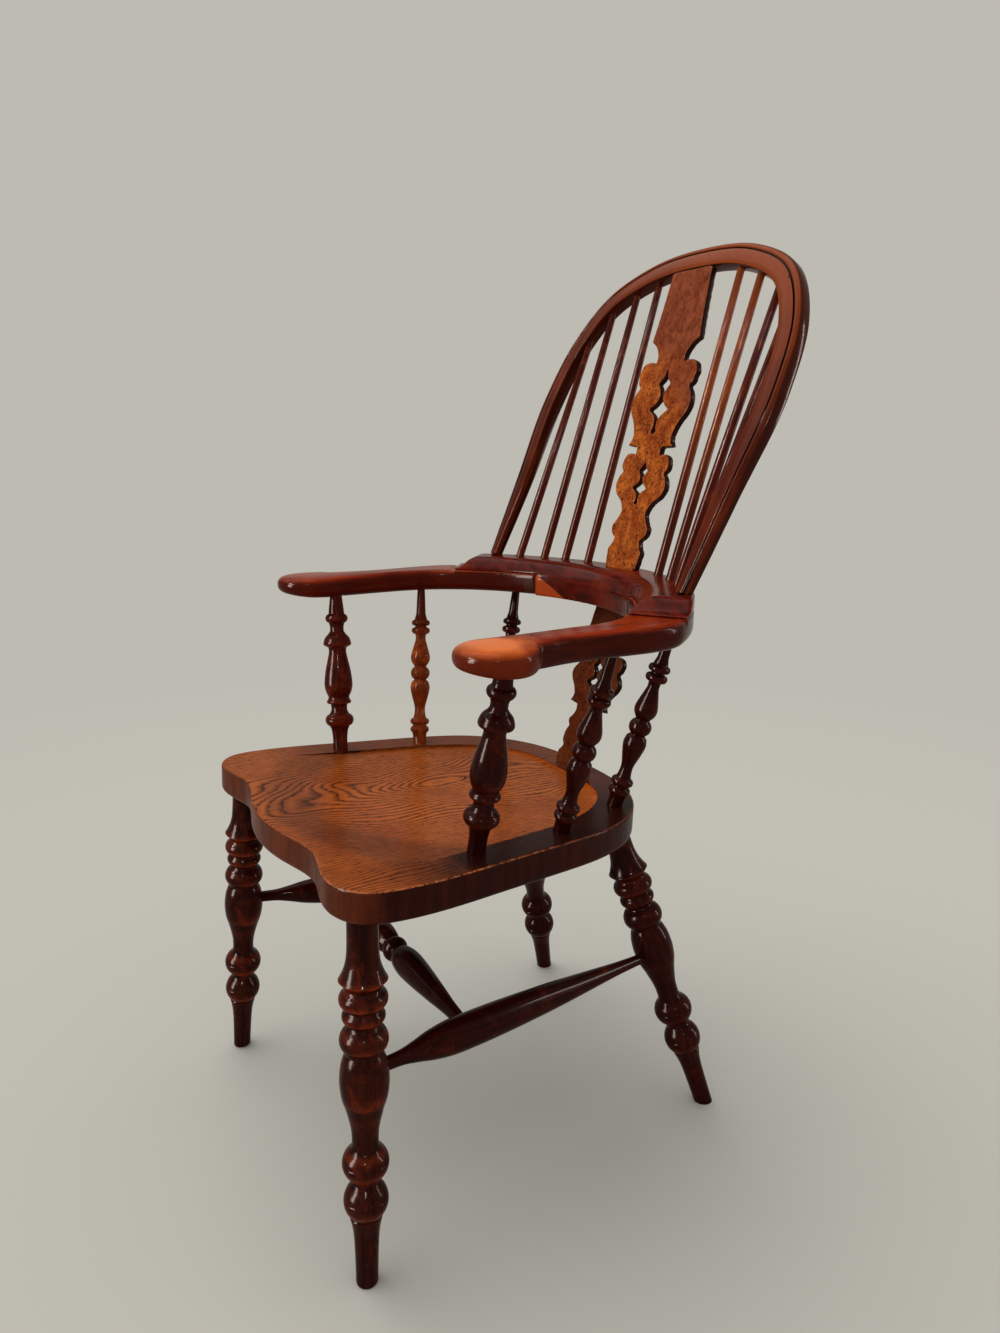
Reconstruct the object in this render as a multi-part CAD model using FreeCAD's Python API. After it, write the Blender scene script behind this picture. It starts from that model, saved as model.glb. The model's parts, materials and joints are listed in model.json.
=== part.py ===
"""Windsor armchair with a hooped back, millimetres.

The chair faces -Y, its height is along +Z and the sitter's left is +X.  It is laid out
from the middle of the seat plan and moved at the end, so that the origin lies on the
floor under the middle of the whole chair.
"""
import FreeCAD, Part
import math
import os

Vector = FreeCAD.Vector
UP = Vector(0, 0, 1)
SIDEWAYS = Vector(1, 0, 0)

# Fit of every glued tenon in its socket: beside it on one face, and beyond its end.
GLUE_GAP = 0.15
END_GAP = 0.5

# Seat: one thick plank, rim left flat, middle dished, the whole of it raised at the front.
SEAT_TOP = 440.0
SEAT_THICKNESS = 38.0
SEAT_NOSE = 281.0
SEAT_HOLLOW = 261.0
SEAT_HOLLOW_X = 125.0
SEAT_CORNER = 271.0
SEAT_CORNER_X = 205.0
SEAT_FRONT_HALF = 247.0
SEAT_MIDDLE_HALF = 222.0
SEAT_BACK_HALF = 187.0
SEAT_BACK = 189.0
SEAT_TILT = 2.3
SEAT_PIVOT = 40.0
SEAT_UNDER_ROUND = 9.0
SEAT_TOP_ROUND = 3.0
RIM_WIDTH = 46.0
DISH_DEPTH = 8.0
DISH_RADIUS = 4000.0
DISH_CENTRE = -20.0

# Legs: heads set in from the sides and the ends of the seat, feet splayed out from the heads.
FRONT_LEG_INSET = (37.0, 31.0)
FRONT_LEG_SPLAY = (30.0, -20.0)
REAR_LEG_INSET = (73.5, -42.5)
REAR_LEG_SPLAY = (86.5, 104.5)
LEG_TENON = 25.0
LEG_TENON_DEPTH = 26.0
LEG_TOP = 32.5
LEG_VASE = 52.5
LEG_BALL = 50.0
LEG_FOOT = 24.5

# Stretchers: two long swelled ones and a cross one between them.
STRETCHER_FRONT_HEIGHT = 241.0
STRETCHER_REAR_HEIGHT = 215.0
STRETCHER_SWELL = 39.0
STRETCHER_FRONT_END = 15.0
STRETCHER_REAR_END = 12.5
STRETCHER_DEPTH = 18.0
CROSS_PLACE = 0.305
CROSS_END = 15.0
CROSS_BULB = 36.5
CROSS_RING = 33.5
CROSS_DEPTH = 12.0

# Posts under the arms: feet set in from the seat's side, heads set in from the arm's inner edge.
FRONT_POST_INSET = 22.0
FRONT_POST_Y = -103.0
FRONT_POST_SLOPE = 15.0
FRONT_POST_UNDER_ARM = 10.0
MIDDLE_POST_INSET = 34.0
MIDDLE_POST_Y = 16.0
MIDDLE_POST_SLOPE = 30.5
MIDDLE_POST_UNDER_ARM = 11.0
REAR_POST_INSET = 41.5
REAR_POST_Y = 124.5
REAR_POST_ANGLE = 36.2
REAR_POST_UNDER_BOW = 47.5
FRONT_POST_TENON = 15.0
FRONT_POST_TOP = 17.0
FRONT_POST_BEAD = 40.0
SMALL_POST_TENON = 13.0
SMALL_POST_TOP = 11.0
SMALL_POST_RING = 28.0
POST_SEAT_DEPTH = 22.0
POST_ARM_DEPTH = 15.0

# Arms: a round bow behind the sitter that runs forward to two hand pads.
ARM_ABOVE_SEAT = 221.0
ARM_THICKNESS = 30.0
ARM_UNDER_ROUND = 11.0
ARM_TOP_ROUND = 9.0
ARM_WIDTH = 50.0
ARM_PINCH = 30.0
BOW_CENTRE = -68.0
BOW_INNER = 256.0
BOW_WIDTH = 70.0
BOW_JOINT_ANGLE = 25.0
PAD_OUT = 41.0
PAD_NOTCH = 7.0
PAD_Y = -117.0
PAD_RADIUS = 43.0
PAD_LIFT_Y = -98.0
PAD_LIFT_RADIUS = 260.0

# Crest: the raised third piece of the bow, with an ogee at each end.
CREST_HEIGHT = 18.0
CREST_LEAN = 28.0
CREST_ROUND = 4.0
CREST_END_ANGLE = 53.5
CREST_LEDGE = 2.5
CREST_SCROLL = 36.0

# Screws from below that hold the crest on the arms.
SCREW_ANGLES = (28.0, 44.0)
SCREW_INSET = 28.0
SCREW_LENGTH = 36.0
SCREW_SHANK = 5.0
SCREW_HEAD = 9.5
SCREW_HEAD_DEPTH = 3.0

# Hoop: lies in a sloping plane, its feet on the crest.
HOOP_FOOT_ANGLE = 43.0
HOOP_RAKE = 0.485
HOOP_RISE = 462.0
HOOP_SWELL = 21.0
HOOP_WIDEST_AT = 252.0
HOOP_FACE = 31.0
HOOP_FOOT_FACE = 15.0
HOOP_THICKNESS = 19.0
HOOP_FOOT_THICKNESS = 13.5
HOOP_TENON = 11.0
HOOP_TENON_DEPTH = 38.0
HOOP_GROOVE_WIDTH = 2.2
HOOP_GROOVE_DEPTH = 1.5
HOOP_GROOVE_PLACE = 0.70

# Long sticks: their places round the crest, and how far each leans out on its way up.
STICK_INSET = 13.0
STICK_ANGLES = (14.5, 22.0, 28.6, 36.0)
STICK_LEANS = (1.0, 4.5, 14.5, 11.0)
STICK_FOOT = 11.5
STICK_HEAD = 9.5
STICK_DEPTH = 24.0

# Pierced splats above and below the bow.
SPLAT_THICKNESS = 9.0
UPPER_SPLAT_FORWARD = 9.0
UPPER_SPLAT_HEAD_FORWARD = 8.0
LOWER_SPLAT_INSET = 29.0
LOWER_SPLAT_UNDER_BOW = 44.5
SPLAT_DEPTH = 12.0
SPLAT_SHOULDER = 4.0
SPLAT_HOOP_DEPTH = 8.0
SPLAT_WAIST = 26.0
UPPER_SPLAT_FOOT = 33.0
UPPER_SPLAT_HEAD = 39.0
LOWER_SPLAT_FOOT = 34.5
LOWER_SPLAT_HEAD = 41.5
SPLAT_MOTIF_HALF = 61.0

# Lengths for which the outlines of the turnings and splats are drawn; each is stretched to its real length.
LEG_DRAWN = 416.0
FRONT_POST_DRAWN = 219.0
SMALL_POST_DRAWN = 228.0
UPPER_SPLAT_DRAWN = 401.5
LOWER_SPLAT_DRAWN = 237.0

# Worked out from the above.
SEAT_BOTTOM = SEAT_TOP - SEAT_THICKNESS
ARM_BOTTOM = SEAT_TOP + ARM_ABOVE_SEAT
ARM_TOP = ARM_BOTTOM + ARM_THICKNESS
CREST_TOP = ARM_TOP + CREST_HEIGHT
BOW_OUTER = BOW_INNER + BOW_WIDTH
ARM_INNER_X = BOW_INNER - ARM_PINCH
ARM_OUTER_X = ARM_INNER_X + ARM_WIDTH
PAD_X = ARM_INNER_X + PAD_OUT
STICK_CIRCLE = BOW_OUTER - STICK_INSET
HOOP_SLOPE = math.hypot(1.0, HOOP_RAKE)


def spline(points, closed=False, tangents=None):
    """A smooth curve through the points."""
    curve = Part.BSplineCurve()
    if tangents:
        curve.interpolate(Points=points, InitialTangent=tangents[0], FinalTangent=tangents[1])
    else:
        curve.interpolate(Points=points, PeriodicFlag=closed)
    return curve


def prism(edges, direction):
    """The solid swept by a flat closed outline along a direction."""
    face = Part.Face(Part.Wire(Part.__sortEdges__(edges)))
    return face.extrude(direction)


def box_above(height, size=2000.0):
    """Everything above a level, as a large block."""
    return Part.makeBox(size, size, size, Vector(-size / 2, -size / 2, height))


def box_below(height, size=2000.0):
    """Everything below a level, as a large block."""
    return Part.makeBox(size, size, size, Vector(-size / 2, -size / 2, height - size))


def tilted(shape):
    """Something drawn on a level seat, turned with the seat so that its front is higher."""
    turned = shape.copy()
    turned.rotate(Vector(0, SEAT_PIVOT, SEAT_TOP), SIDEWAYS, -SEAT_TILT)
    return turned


def on_seat(x, y, level):
    """The point of the tilted seat that lies over (x, y), at its top or its underside."""
    return Vector(x, y, level + (SEAT_PIVOT - y) * math.tan(math.radians(SEAT_TILT)))


def mirrored(shape):
    """The same piece for the other side of the chair."""
    return shape.mirror(Vector(0, 0, 0), SIDEWAYS)


def along(start, end, distance):
    """The point at a distance from start towards end."""
    step = (end - start).normalize()
    return start + step * distance


def rod(start, end, diameter, end_diameter=None):
    """A round bar, or a tapered one, from one point to another."""
    length = (end - start).Length
    if end_diameter is None or abs(end_diameter - diameter) < 1e-9:
        return Part.makeCylinder(diameter / 2, length, start, end - start)
    return Part.makeCone(diameter / 2, end_diameter / 2, length, start, end - start)


def socket(start, end, diameter):
    """The hole that a round tenon is glued in."""
    return rod(start, end, diameter + 2 * GLUE_GAP)


class Turning:
    """Half outline of a piece turned on a lathe, from its foot upwards, stretched along its length."""

    def __init__(self, height, diameter, stretch=1.0):
        self.stretch = stretch
        self.first = self.at(height, diameter)
        self.here = self.first
        self.edges = []

    def at(self, height, diameter):
        """The point of the outline at a drawn height."""
        return Vector(diameter / 2, 0, height * self.stretch)

    def line(self, height, diameter):
        """Straight cut to a new height and diameter."""
        point = self.at(height, diameter)
        self.edges.append(Part.makeLine(self.here, point))
        self.here = point
        return self

    def bead(self, height, diameter, widest):
        """Round bead or ball up to a new height, with its widest diameter half way."""
        point = self.at(height, diameter)
        middle = Vector(widest / 2, 0, (self.here.z + point.z) / 2)
        self.edges.append(Part.Arc(self.here, middle, point).toShape())
        self.here = point
        return self

    def flow(self, *places):
        """One smooth sweep of the gouge through the given (height, diameter) places."""
        points = [self.here] + [self.at(h, d) for h, d in places]
        self.edges.append(spline(points).toShape())
        self.here = points[-1]
        return self

    def solid(self, start, end):
        """The turned piece, its foot at start and its axis towards end."""
        low = Vector(0, 0, self.first.z)
        high = Vector(0, 0, self.here.z)
        closing = [Part.makeLine(low, self.first)] if self.first.x > 0 else []
        closing += [Part.makeLine(self.here, high), Part.makeLine(high, low)]
        face = Part.Face(Part.Wire(Part.__sortEdges__(self.edges + closing)))
        shape = face.revolve(Vector(0, 0, 0), UP, 360)
        shape.Placement = FreeCAD.Placement(start, FreeCAD.Rotation(UP, end - start))
        return shape


# Seat

def seat_outline():
    """Right-hand half of the seat plan from the nose to the middle of the back."""
    return [
        (0.0, -SEAT_NOSE),
        (SEAT_HOLLOW_X * 0.45, -(SEAT_NOSE * 0.66 + SEAT_HOLLOW * 0.34)),
        (SEAT_HOLLOW_X, -SEAT_HOLLOW),
        (SEAT_CORNER_X, -SEAT_CORNER),
        (SEAT_FRONT_HALF * 0.955, -SEAT_CORNER * 0.93),
        (SEAT_FRONT_HALF, -SEAT_CORNER * 0.78),
        (SEAT_FRONT_HALF * 0.6 + SEAT_MIDDLE_HALF * 0.4, -SEAT_CORNER * 0.36),
        (SEAT_MIDDLE_HALF, 0.0),
        (SEAT_BACK_HALF, SEAT_BACK * 0.6),
        (SEAT_BACK_HALF * 0.58, SEAT_BACK * 0.925),
        (0.0, SEAT_BACK),
    ]


def dish_outline():
    """Half of the line where the flat rim ends, run out past the front edge."""
    return [
        (SEAT_FRONT_HALF - RIM_WIDTH * 0.45, -SEAT_NOSE - 20.0),
        (SEAT_FRONT_HALF - RIM_WIDTH * 0.65, -SEAT_CORNER * 0.93),
        (SEAT_FRONT_HALF * 0.6 + SEAT_MIDDLE_HALF * 0.4 - RIM_WIDTH, -SEAT_CORNER * 0.36),
        (SEAT_MIDDLE_HALF - RIM_WIDTH, 0.0),
        (SEAT_BACK_HALF - RIM_WIDTH * 0.92, SEAT_BACK * 0.6 - RIM_WIDTH * 0.55),
        (SEAT_BACK_HALF * 0.58 - RIM_WIDTH * 0.3, SEAT_BACK * 0.925 - RIM_WIDTH * 0.9),
        (0.0, SEAT_BACK - RIM_WIDTH),
    ]


def both_sides(half, height):
    """A half outline and its mirror image as points at one height."""
    right = [Vector(x, y, height) for x, y in half]
    left = [Vector(-x, y, height) for x, y in reversed(half) if x > 0]
    return right + left


def make_seat():
    outline = spline(both_sides(seat_outline(), SEAT_BOTTOM), closed=True).toShape()
    plank = prism([outline], UP * SEAT_THICKNESS)
    under = [e for e in plank.Edges if abs(e.CenterOfMass.z - SEAT_BOTTOM) < 0.1]
    over = [e for e in plank.Edges if abs(e.CenterOfMass.z - SEAT_TOP) < 0.1]
    plank = plank.makeFillet(SEAT_UNDER_ROUND, under)
    over = [e for e in plank.Edges if abs(e.CenterOfMass.z - SEAT_TOP) < 0.1]
    plank = plank.makeFillet(SEAT_TOP_ROUND, over)
    rim = both_sides(dish_outline(), SEAT_TOP - 2 * DISH_DEPTH)
    edges = [spline(rim).toShape(), Part.makeLine(rim[-1], rim[0])]
    pocket = prism(edges, UP * 4 * DISH_DEPTH)
    ball = Part.makeSphere(DISH_RADIUS)
    ball.translate(Vector(0, DISH_CENTRE, SEAT_TOP - DISH_DEPTH + DISH_RADIUS))
    return tilted(plank.cut(pocket.common(ball)))


# Legs

def leg_turning(length):
    """Outline of a leg: plain foot, two balls, vase, three rings and a flared cap."""
    t = Turning(-20.0, LEG_FOOT - 1.0, length / LEG_DRAWN)
    t.flow((20.0, LEG_FOOT), (50.0, LEG_FOOT + 2.0), (66.0, LEG_FOOT + 5.0), (80.0, LEG_FOOT + 11.0))
    t.line(81.5, LEG_FOOT + 9.0)
    t.bead(117.0, LEG_FOOT + 7.0, LEG_BALL - 2.0)
    t.line(119.5, LEG_FOOT + 4.0)
    t.line(124.0, LEG_FOOT + 5.0)
    t.bead(158.5, LEG_FOOT + 7.0, LEG_BALL)
    t.flow((165.0, LEG_VASE * 0.54), (182.0, LEG_VASE * 0.575), (204.0, LEG_VASE * 0.77),
           (218.0, LEG_VASE * 0.93), (235.0, LEG_VASE), (252.0, LEG_VASE * 0.95), (263.0, LEG_VASE * 0.83))
    t.line(266.0, LEG_VASE * 0.76)
    t.line(270.0, LEG_VASE * 0.79)
    t.bead(295.5, LEG_VASE * 0.68, LEG_VASE * 0.98)
    t.line(298.0, LEG_VASE * 0.64)
    t.line(301.0, LEG_VASE * 0.76)
    t.bead(313.0, LEG_VASE * 0.76, LEG_VASE * 0.87)
    t.line(315.0, LEG_VASE * 0.72)
    t.line(317.0, LEG_VASE * 0.79)
    t.bead(335.0, LEG_VASE * 0.79, LEG_VASE * 0.98)
    t.line(338.0, LEG_VASE * 0.74)
    t.line(342.0, LEG_VASE * 0.82)
    t.line(347.0, LEG_VASE * 0.985)
    t.flow((353.0, LEG_VASE * 0.86), (364.0, LEG_VASE * 0.71), (380.0, LEG_TOP + 0.8),
           (LEG_DRAWN + LEG_TOP / 2, LEG_TOP))
    return t


def leg_line(inset, splay):
    """Both ends of a left leg's axis: on the floor and at the underside of the seat."""
    front = inset[1] > 0
    side = SEAT_FRONT_HALF if front else SEAT_BACK_HALF
    end = -SEAT_CORNER if front else SEAT_BACK
    head = on_seat(side - inset[0], end + inset[1], SEAT_BOTTOM)
    return Vector(head.x + splay[0], head.y + splay[1], 0.0), head


def front_leg_line():
    return leg_line(FRONT_LEG_INSET, FRONT_LEG_SPLAY)


def rear_leg_line():
    return leg_line(REAR_LEG_INSET, REAR_LEG_SPLAY)


def make_leg(low, high):
    length = (high - low).Length
    body = leg_turning(length).solid(low, high)
    body = body.cut(tilted(box_above(SEAT_BOTTOM))).cut(box_below(0.0))
    start = along(low, high, length - LEG_TOP / 2)
    tenon = rod(start, along(low, high, length + LEG_TENON_DEPTH), LEG_TENON)
    return body.fuse(tenon).removeSplitter()


def leg_socket(low, high):
    length = (high - low).Length
    start = along(low, high, length - LEG_TOP)
    return socket(start, along(low, high, length + LEG_TENON_DEPTH + END_GAP), LEG_TENON)


def on_leg(line, height):
    """The point of a leg's axis at a height."""
    low, high = line
    return low + (high - low) * (height / high.z)


# Stretchers

def stretcher_line():
    """Axis of the left side stretcher between the axes of its two legs."""
    front = on_leg(front_leg_line(), STRETCHER_FRONT_HEIGHT)
    rear = on_leg(rear_leg_line(), STRETCHER_REAR_HEIGHT)
    return front, rear


def stretcher_ends():
    """Where the side stretcher's tenons stop inside the legs."""
    front, rear = stretcher_line()
    inset = LEG_VASE / 2 - STRETCHER_DEPTH
    return along(front, rear, inset), along(rear, front, inset)


def make_side_stretcher():
    start, end = stretcher_ends()
    span = (end - start).Length
    visible = span - 2 * STRETCHER_DEPTH
    t = Turning(0.0, STRETCHER_FRONT_END)
    t.line(STRETCHER_DEPTH, STRETCHER_FRONT_END)
    shape = ((0.05, 0.42), (0.10, 0.60), (0.15, 0.82), (0.21, 0.97), (0.28, 1.0),
             (0.38, 0.98), (0.50, 0.90), (0.62, 0.78), (0.75, 0.60), (0.88, 0.42))
    places = [(STRETCHER_DEPTH + f * visible, STRETCHER_SWELL * w) for f, w in shape]
    t.flow(*places, (STRETCHER_DEPTH + visible, STRETCHER_REAR_END))
    t.line(span, STRETCHER_REAR_END)
    return t.solid(start, end)


def cross_line():
    """Axis of the cross stretcher between the axes of the side stretchers."""
    front, rear = stretcher_line()
    left = front + (rear - front) * CROSS_PLACE
    return Vector(-left.x, left.y, left.z), left


def cross_half():
    """Half length of the cross stretcher with its tenon."""
    return cross_line()[1].x - STRETCHER_SWELL / 2 + CROSS_DEPTH


def make_cross_stretcher():
    right, left = cross_line()
    half = cross_half()
    shoulder = half - CROSS_DEPTH
    t = Turning(-half, CROSS_END)
    t.line(-shoulder, CROSS_END)
    t.flow((-shoulder * 0.84, CROSS_END * 1.2), (-shoulder * 0.62, CROSS_BULB * 0.72),
           (-shoulder * 0.40, CROSS_BULB * 0.92), (-shoulder * 0.24, CROSS_BULB),
           (-shoulder * 0.13, CROSS_BULB * 0.88), (-14.0, CROSS_BULB * 0.66))
    t.line(-10.5, CROSS_BULB * 0.6)
    t.bead(10.5, CROSS_BULB * 0.6, CROSS_RING)
    t.line(14.0, CROSS_BULB * 0.66)
    t.flow((shoulder * 0.13, CROSS_BULB * 0.88), (shoulder * 0.24, CROSS_BULB),
           (shoulder * 0.40, CROSS_BULB * 0.92), (shoulder * 0.62, CROSS_BULB * 0.72),
           (shoulder * 0.84, CROSS_END * 1.2), (shoulder, CROSS_END))
    t.line(half, CROSS_END)
    middle = (right + left) * 0.5
    return t.solid(middle, left)


# Posts under the arms

def front_post_turning(length):
    """Outline of a front post: bead, thin ring, vase under a sharp flange, bead and plain cone."""
    b = FRONT_POST_BEAD
    t = Turning(-10.0, b * 0.52, length / FRONT_POST_DRAWN)
    t.line(0.0, b * 0.52)
    t.flow((17.0, b * 0.51), (29.0, b * 0.58), (33.0, b * 0.66))
    t.line(35.0, b * 0.70)
    t.bead(52.5, b * 0.70, b)
    t.flow((57.0, b * 0.58), (62.0, b * 0.55))
    t.line(66.5, b * 0.60)
    t.bead(72.5, b * 0.66, b * 0.86)
    t.flow((77.0, b * 0.74), (85.0, b * 0.91), (95.5, b * 0.99), (113.0, b * 0.90),
           (130.0, b * 0.72), (141.0, b * 0.61), (147.0, b * 0.64))
    t.line(150.5, b * 0.95)
    t.flow((153.5, b * 0.98), (161.0, b * 0.86), (167.0, b * 0.60))
    t.line(171.0, b * 0.48)
    t.line(177.0, b * 0.48)
    t.line(182.0, b * 0.55)
    t.bead(195.0, b * 0.56, b * 0.79)
    t.line(199.0, b * 0.54)
    t.line(FRONT_POST_DRAWN, FRONT_POST_TOP)
    t.line(FRONT_POST_DRAWN + 10.0, FRONT_POST_TOP)
    return t


def small_post_turning(length):
    """Outline of a middle or rear post: rings, two vases foot to foot and a ball between."""
    r = SMALL_POST_RING
    t = Turning(-10.0, r * 0.69, length / SMALL_POST_DRAWN)
    t.line(0.0, r * 0.69)
    t.flow((10.0, r * 0.70), (15.5, r * 0.78))
    t.bead(25.5, r * 0.72, r * 0.98)
    t.line(27.0, r * 0.72)
    t.bead(37.0, r * 0.70, r)
    t.flow((42.0, r * 0.59), (53.0, r * 0.555), (68.0, r * 0.83), (81.0, r * 1.02), (90.0, r * 0.90))
    t.line(94.0, r * 0.62)
    t.bead(113.0, r * 0.62, r)
    t.line(115.0, r * 0.68)
    t.flow((121.0, r * 0.95), (129.0, r), (143.0, r * 0.74), (154.0, r * 0.53), (161.0, r * 0.56))
    t.bead(172.0, r * 0.60, r * 0.97)
    t.line(173.5, r * 0.58)
    t.bead(183.0, r * 0.56, r * 0.97)
    t.line(192.0, r * 0.50)
    t.line(SMALL_POST_DRAWN, SMALL_POST_TOP)
    t.line(SMALL_POST_DRAWN + 10.0, SMALL_POST_TOP)
    return t


def front_post_line():
    foot = on_seat(SEAT_MIDDLE_HALF - FRONT_POST_INSET, FRONT_POST_Y, SEAT_TOP)
    return foot, Vector(ARM_INNER_X + FRONT_POST_UNDER_ARM, FRONT_POST_Y + FRONT_POST_SLOPE, ARM_BOTTOM)


def middle_post_line():
    foot = on_seat(SEAT_MIDDLE_HALF - MIDDLE_POST_INSET, MIDDLE_POST_Y, SEAT_TOP)
    return foot, Vector(ARM_INNER_X + MIDDLE_POST_UNDER_ARM, MIDDLE_POST_Y + MIDDLE_POST_SLOPE, ARM_BOTTOM)


def rear_post_line():
    foot = on_seat(SEAT_BACK_HALF - REAR_POST_INSET, REAR_POST_Y, SEAT_TOP)
    return foot, on_bow(BOW_INNER + REAR_POST_UNDER_BOW, REAR_POST_ANGLE, ARM_BOTTOM)


POSTS = {
    "front": (front_post_turning, front_post_line, FRONT_POST_TENON, FRONT_POST_TOP),
    "middle": (small_post_turning, middle_post_line, SMALL_POST_TENON, SMALL_POST_TOP),
    "rear": (small_post_turning, rear_post_line, SMALL_POST_TENON, SMALL_POST_TOP),
}


def make_post(turning, line, tenon, top, arm):
    """A left-hand post, cut to fit under its arm."""
    low, high = line()
    length = (high - low).Length
    body = turning(length).solid(low, high)
    body = body.cut(arm).cut(box_above(ARM_BOTTOM + ARM_UNDER_ROUND)).cut(tilted(box_below(SEAT_TOP)))
    foot_tenon = rod(along(low, high, -POST_SEAT_DEPTH), along(low, high, tenon), tenon)
    head_tenon = rod(along(low, high, length - top), along(low, high, length + POST_ARM_DEPTH), top - 2.0)
    return body.fuse([foot_tenon, head_tenon]).removeSplitter()


def post_foot_socket(line, tenon):
    low, high = line()
    return socket(along(low, high, -POST_SEAT_DEPTH - END_GAP), along(low, high, tenon), tenon)


def post_head_socket(line, top):
    low, high = line()
    length = (high - low).Length
    end = along(low, high, length + POST_ARM_DEPTH + END_GAP)
    return socket(along(low, high, length - top), end, top - 2.0)


# Arms and crest

def on_bow(radius, angle, height):
    """A point of the bow at an angle from the middle of the back, towards the left arm."""
    a = math.radians(angle)
    return Vector(radius * math.sin(a), BOW_CENTRE + radius * math.cos(a), height)


def bow_section(low, high):
    """Section of the crest as (radius, height): sloping front with a rolled top."""
    front = BOW_INNER + CREST_LEAN
    return [
        Part.makeLine(Vector(BOW_INNER, 0, low), Vector(BOW_OUTER, 0, low)),
        Part.makeLine(Vector(BOW_OUTER, 0, low), Vector(BOW_OUTER, 0, high - CREST_ROUND)),
        Part.Arc(Vector(BOW_OUTER, 0, high - CREST_ROUND),
                 Vector(BOW_OUTER - CREST_ROUND * 0.293, 0, high - CREST_ROUND * 0.293),
                 Vector(BOW_OUTER - CREST_ROUND, 0, high)).toShape(),
        Part.makeLine(Vector(BOW_OUTER - CREST_ROUND, 0, high), Vector(front, 0, high)),
        Part.Arc(Vector(front, 0, high),
                 Vector(front - CREST_LEAN * 0.62, 0, high - CREST_HEIGHT * 0.42),
                 Vector(BOW_INNER, 0, high - CREST_HEIGHT * 1.25)).toShape(),
        Part.makeLine(Vector(BOW_INNER, 0, high - CREST_HEIGHT * 1.25), Vector(BOW_INNER, 0, low)),
    ]


def bow_wedge(angle, low, high):
    """Everything of the bow's ring within an angle to both sides of the middle."""
    reach = BOW_OUTER * 2.0
    side = Vector(reach * math.sin(math.radians(angle)), BOW_CENTRE + reach * math.cos(math.radians(angle)), low)
    corners = [Vector(0, BOW_CENTRE, low), side, Vector(-side.x, side.y, low)]
    edges = [Part.makeLine(corners[i], corners[(i + 1) % 3]) for i in range(3)]
    return prism(edges, UP * (high - low))


def scroll_cut(side):
    """What is carved away over the end of the crest, down to its small ledge."""
    middle = CREST_END_ANGLE - math.degrees(CREST_SCROLL / (BOW_INNER + SCREW_INSET))
    start = on_bow(1.0, middle, 0.0) - Vector(0, BOW_CENTRE, 0)
    across = Vector(start.x, start.y, 0).normalize()
    forward = Vector(across.y, -across.x, 0)
    inner = on_bow(BOW_INNER * 0.8, middle, 0.0)
    ledge = ARM_TOP + CREST_LEDGE

    def place(distance, height):
        return inner + forward * distance + UP * height

    mid = CREST_SCROLL * 0.5
    level = (CREST_TOP + ledge) / 2
    drop = (CREST_TOP - ledge) / 2
    edges = [
        Part.Arc(place(0, CREST_TOP), place(mid * 0.62, CREST_TOP - drop * 0.30), place(mid, level)).toShape(),
        Part.Arc(place(mid, level), place(mid * 1.38, ledge + drop * 0.30), place(CREST_SCROLL, ledge)).toShape(),
        Part.makeLine(place(CREST_SCROLL, ledge), place(CREST_SCROLL * 2, ledge)),
        Part.makeLine(place(CREST_SCROLL * 2, ledge), place(CREST_SCROLL * 2, CREST_TOP + 10.0)),
        Part.makeLine(place(CREST_SCROLL * 2, CREST_TOP + 10.0), place(0, CREST_TOP + 10.0)),
        Part.makeLine(place(0, CREST_TOP + 10.0), place(0, CREST_TOP)),
    ]
    tool = prism(edges, across * BOW_OUTER * 0.6)
    return tool if side > 0 else mirrored(tool)


def make_crest():
    section = Part.Face(Part.Wire(Part.__sortEdges__(bow_section(ARM_BOTTOM, CREST_TOP))))
    ring = section.revolve(Vector(0, 0, 0), UP, 180)
    ring.translate(Vector(0, BOW_CENTRE, 0))
    ring = ring.common(bow_wedge(CREST_END_ANGLE, ARM_BOTTOM - 1.0, CREST_TOP + 1.0))
    middle = bow_wedge(BOW_JOINT_ANGLE, ARM_BOTTOM - 1.0, ARM_TOP)
    rest = ring.common(box_below(ARM_TOP)).cut(middle)
    crest = ring.cut(rest)
    for side in (1, -1):
        crest = crest.cut(scroll_cut(side))
    return crest


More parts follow.
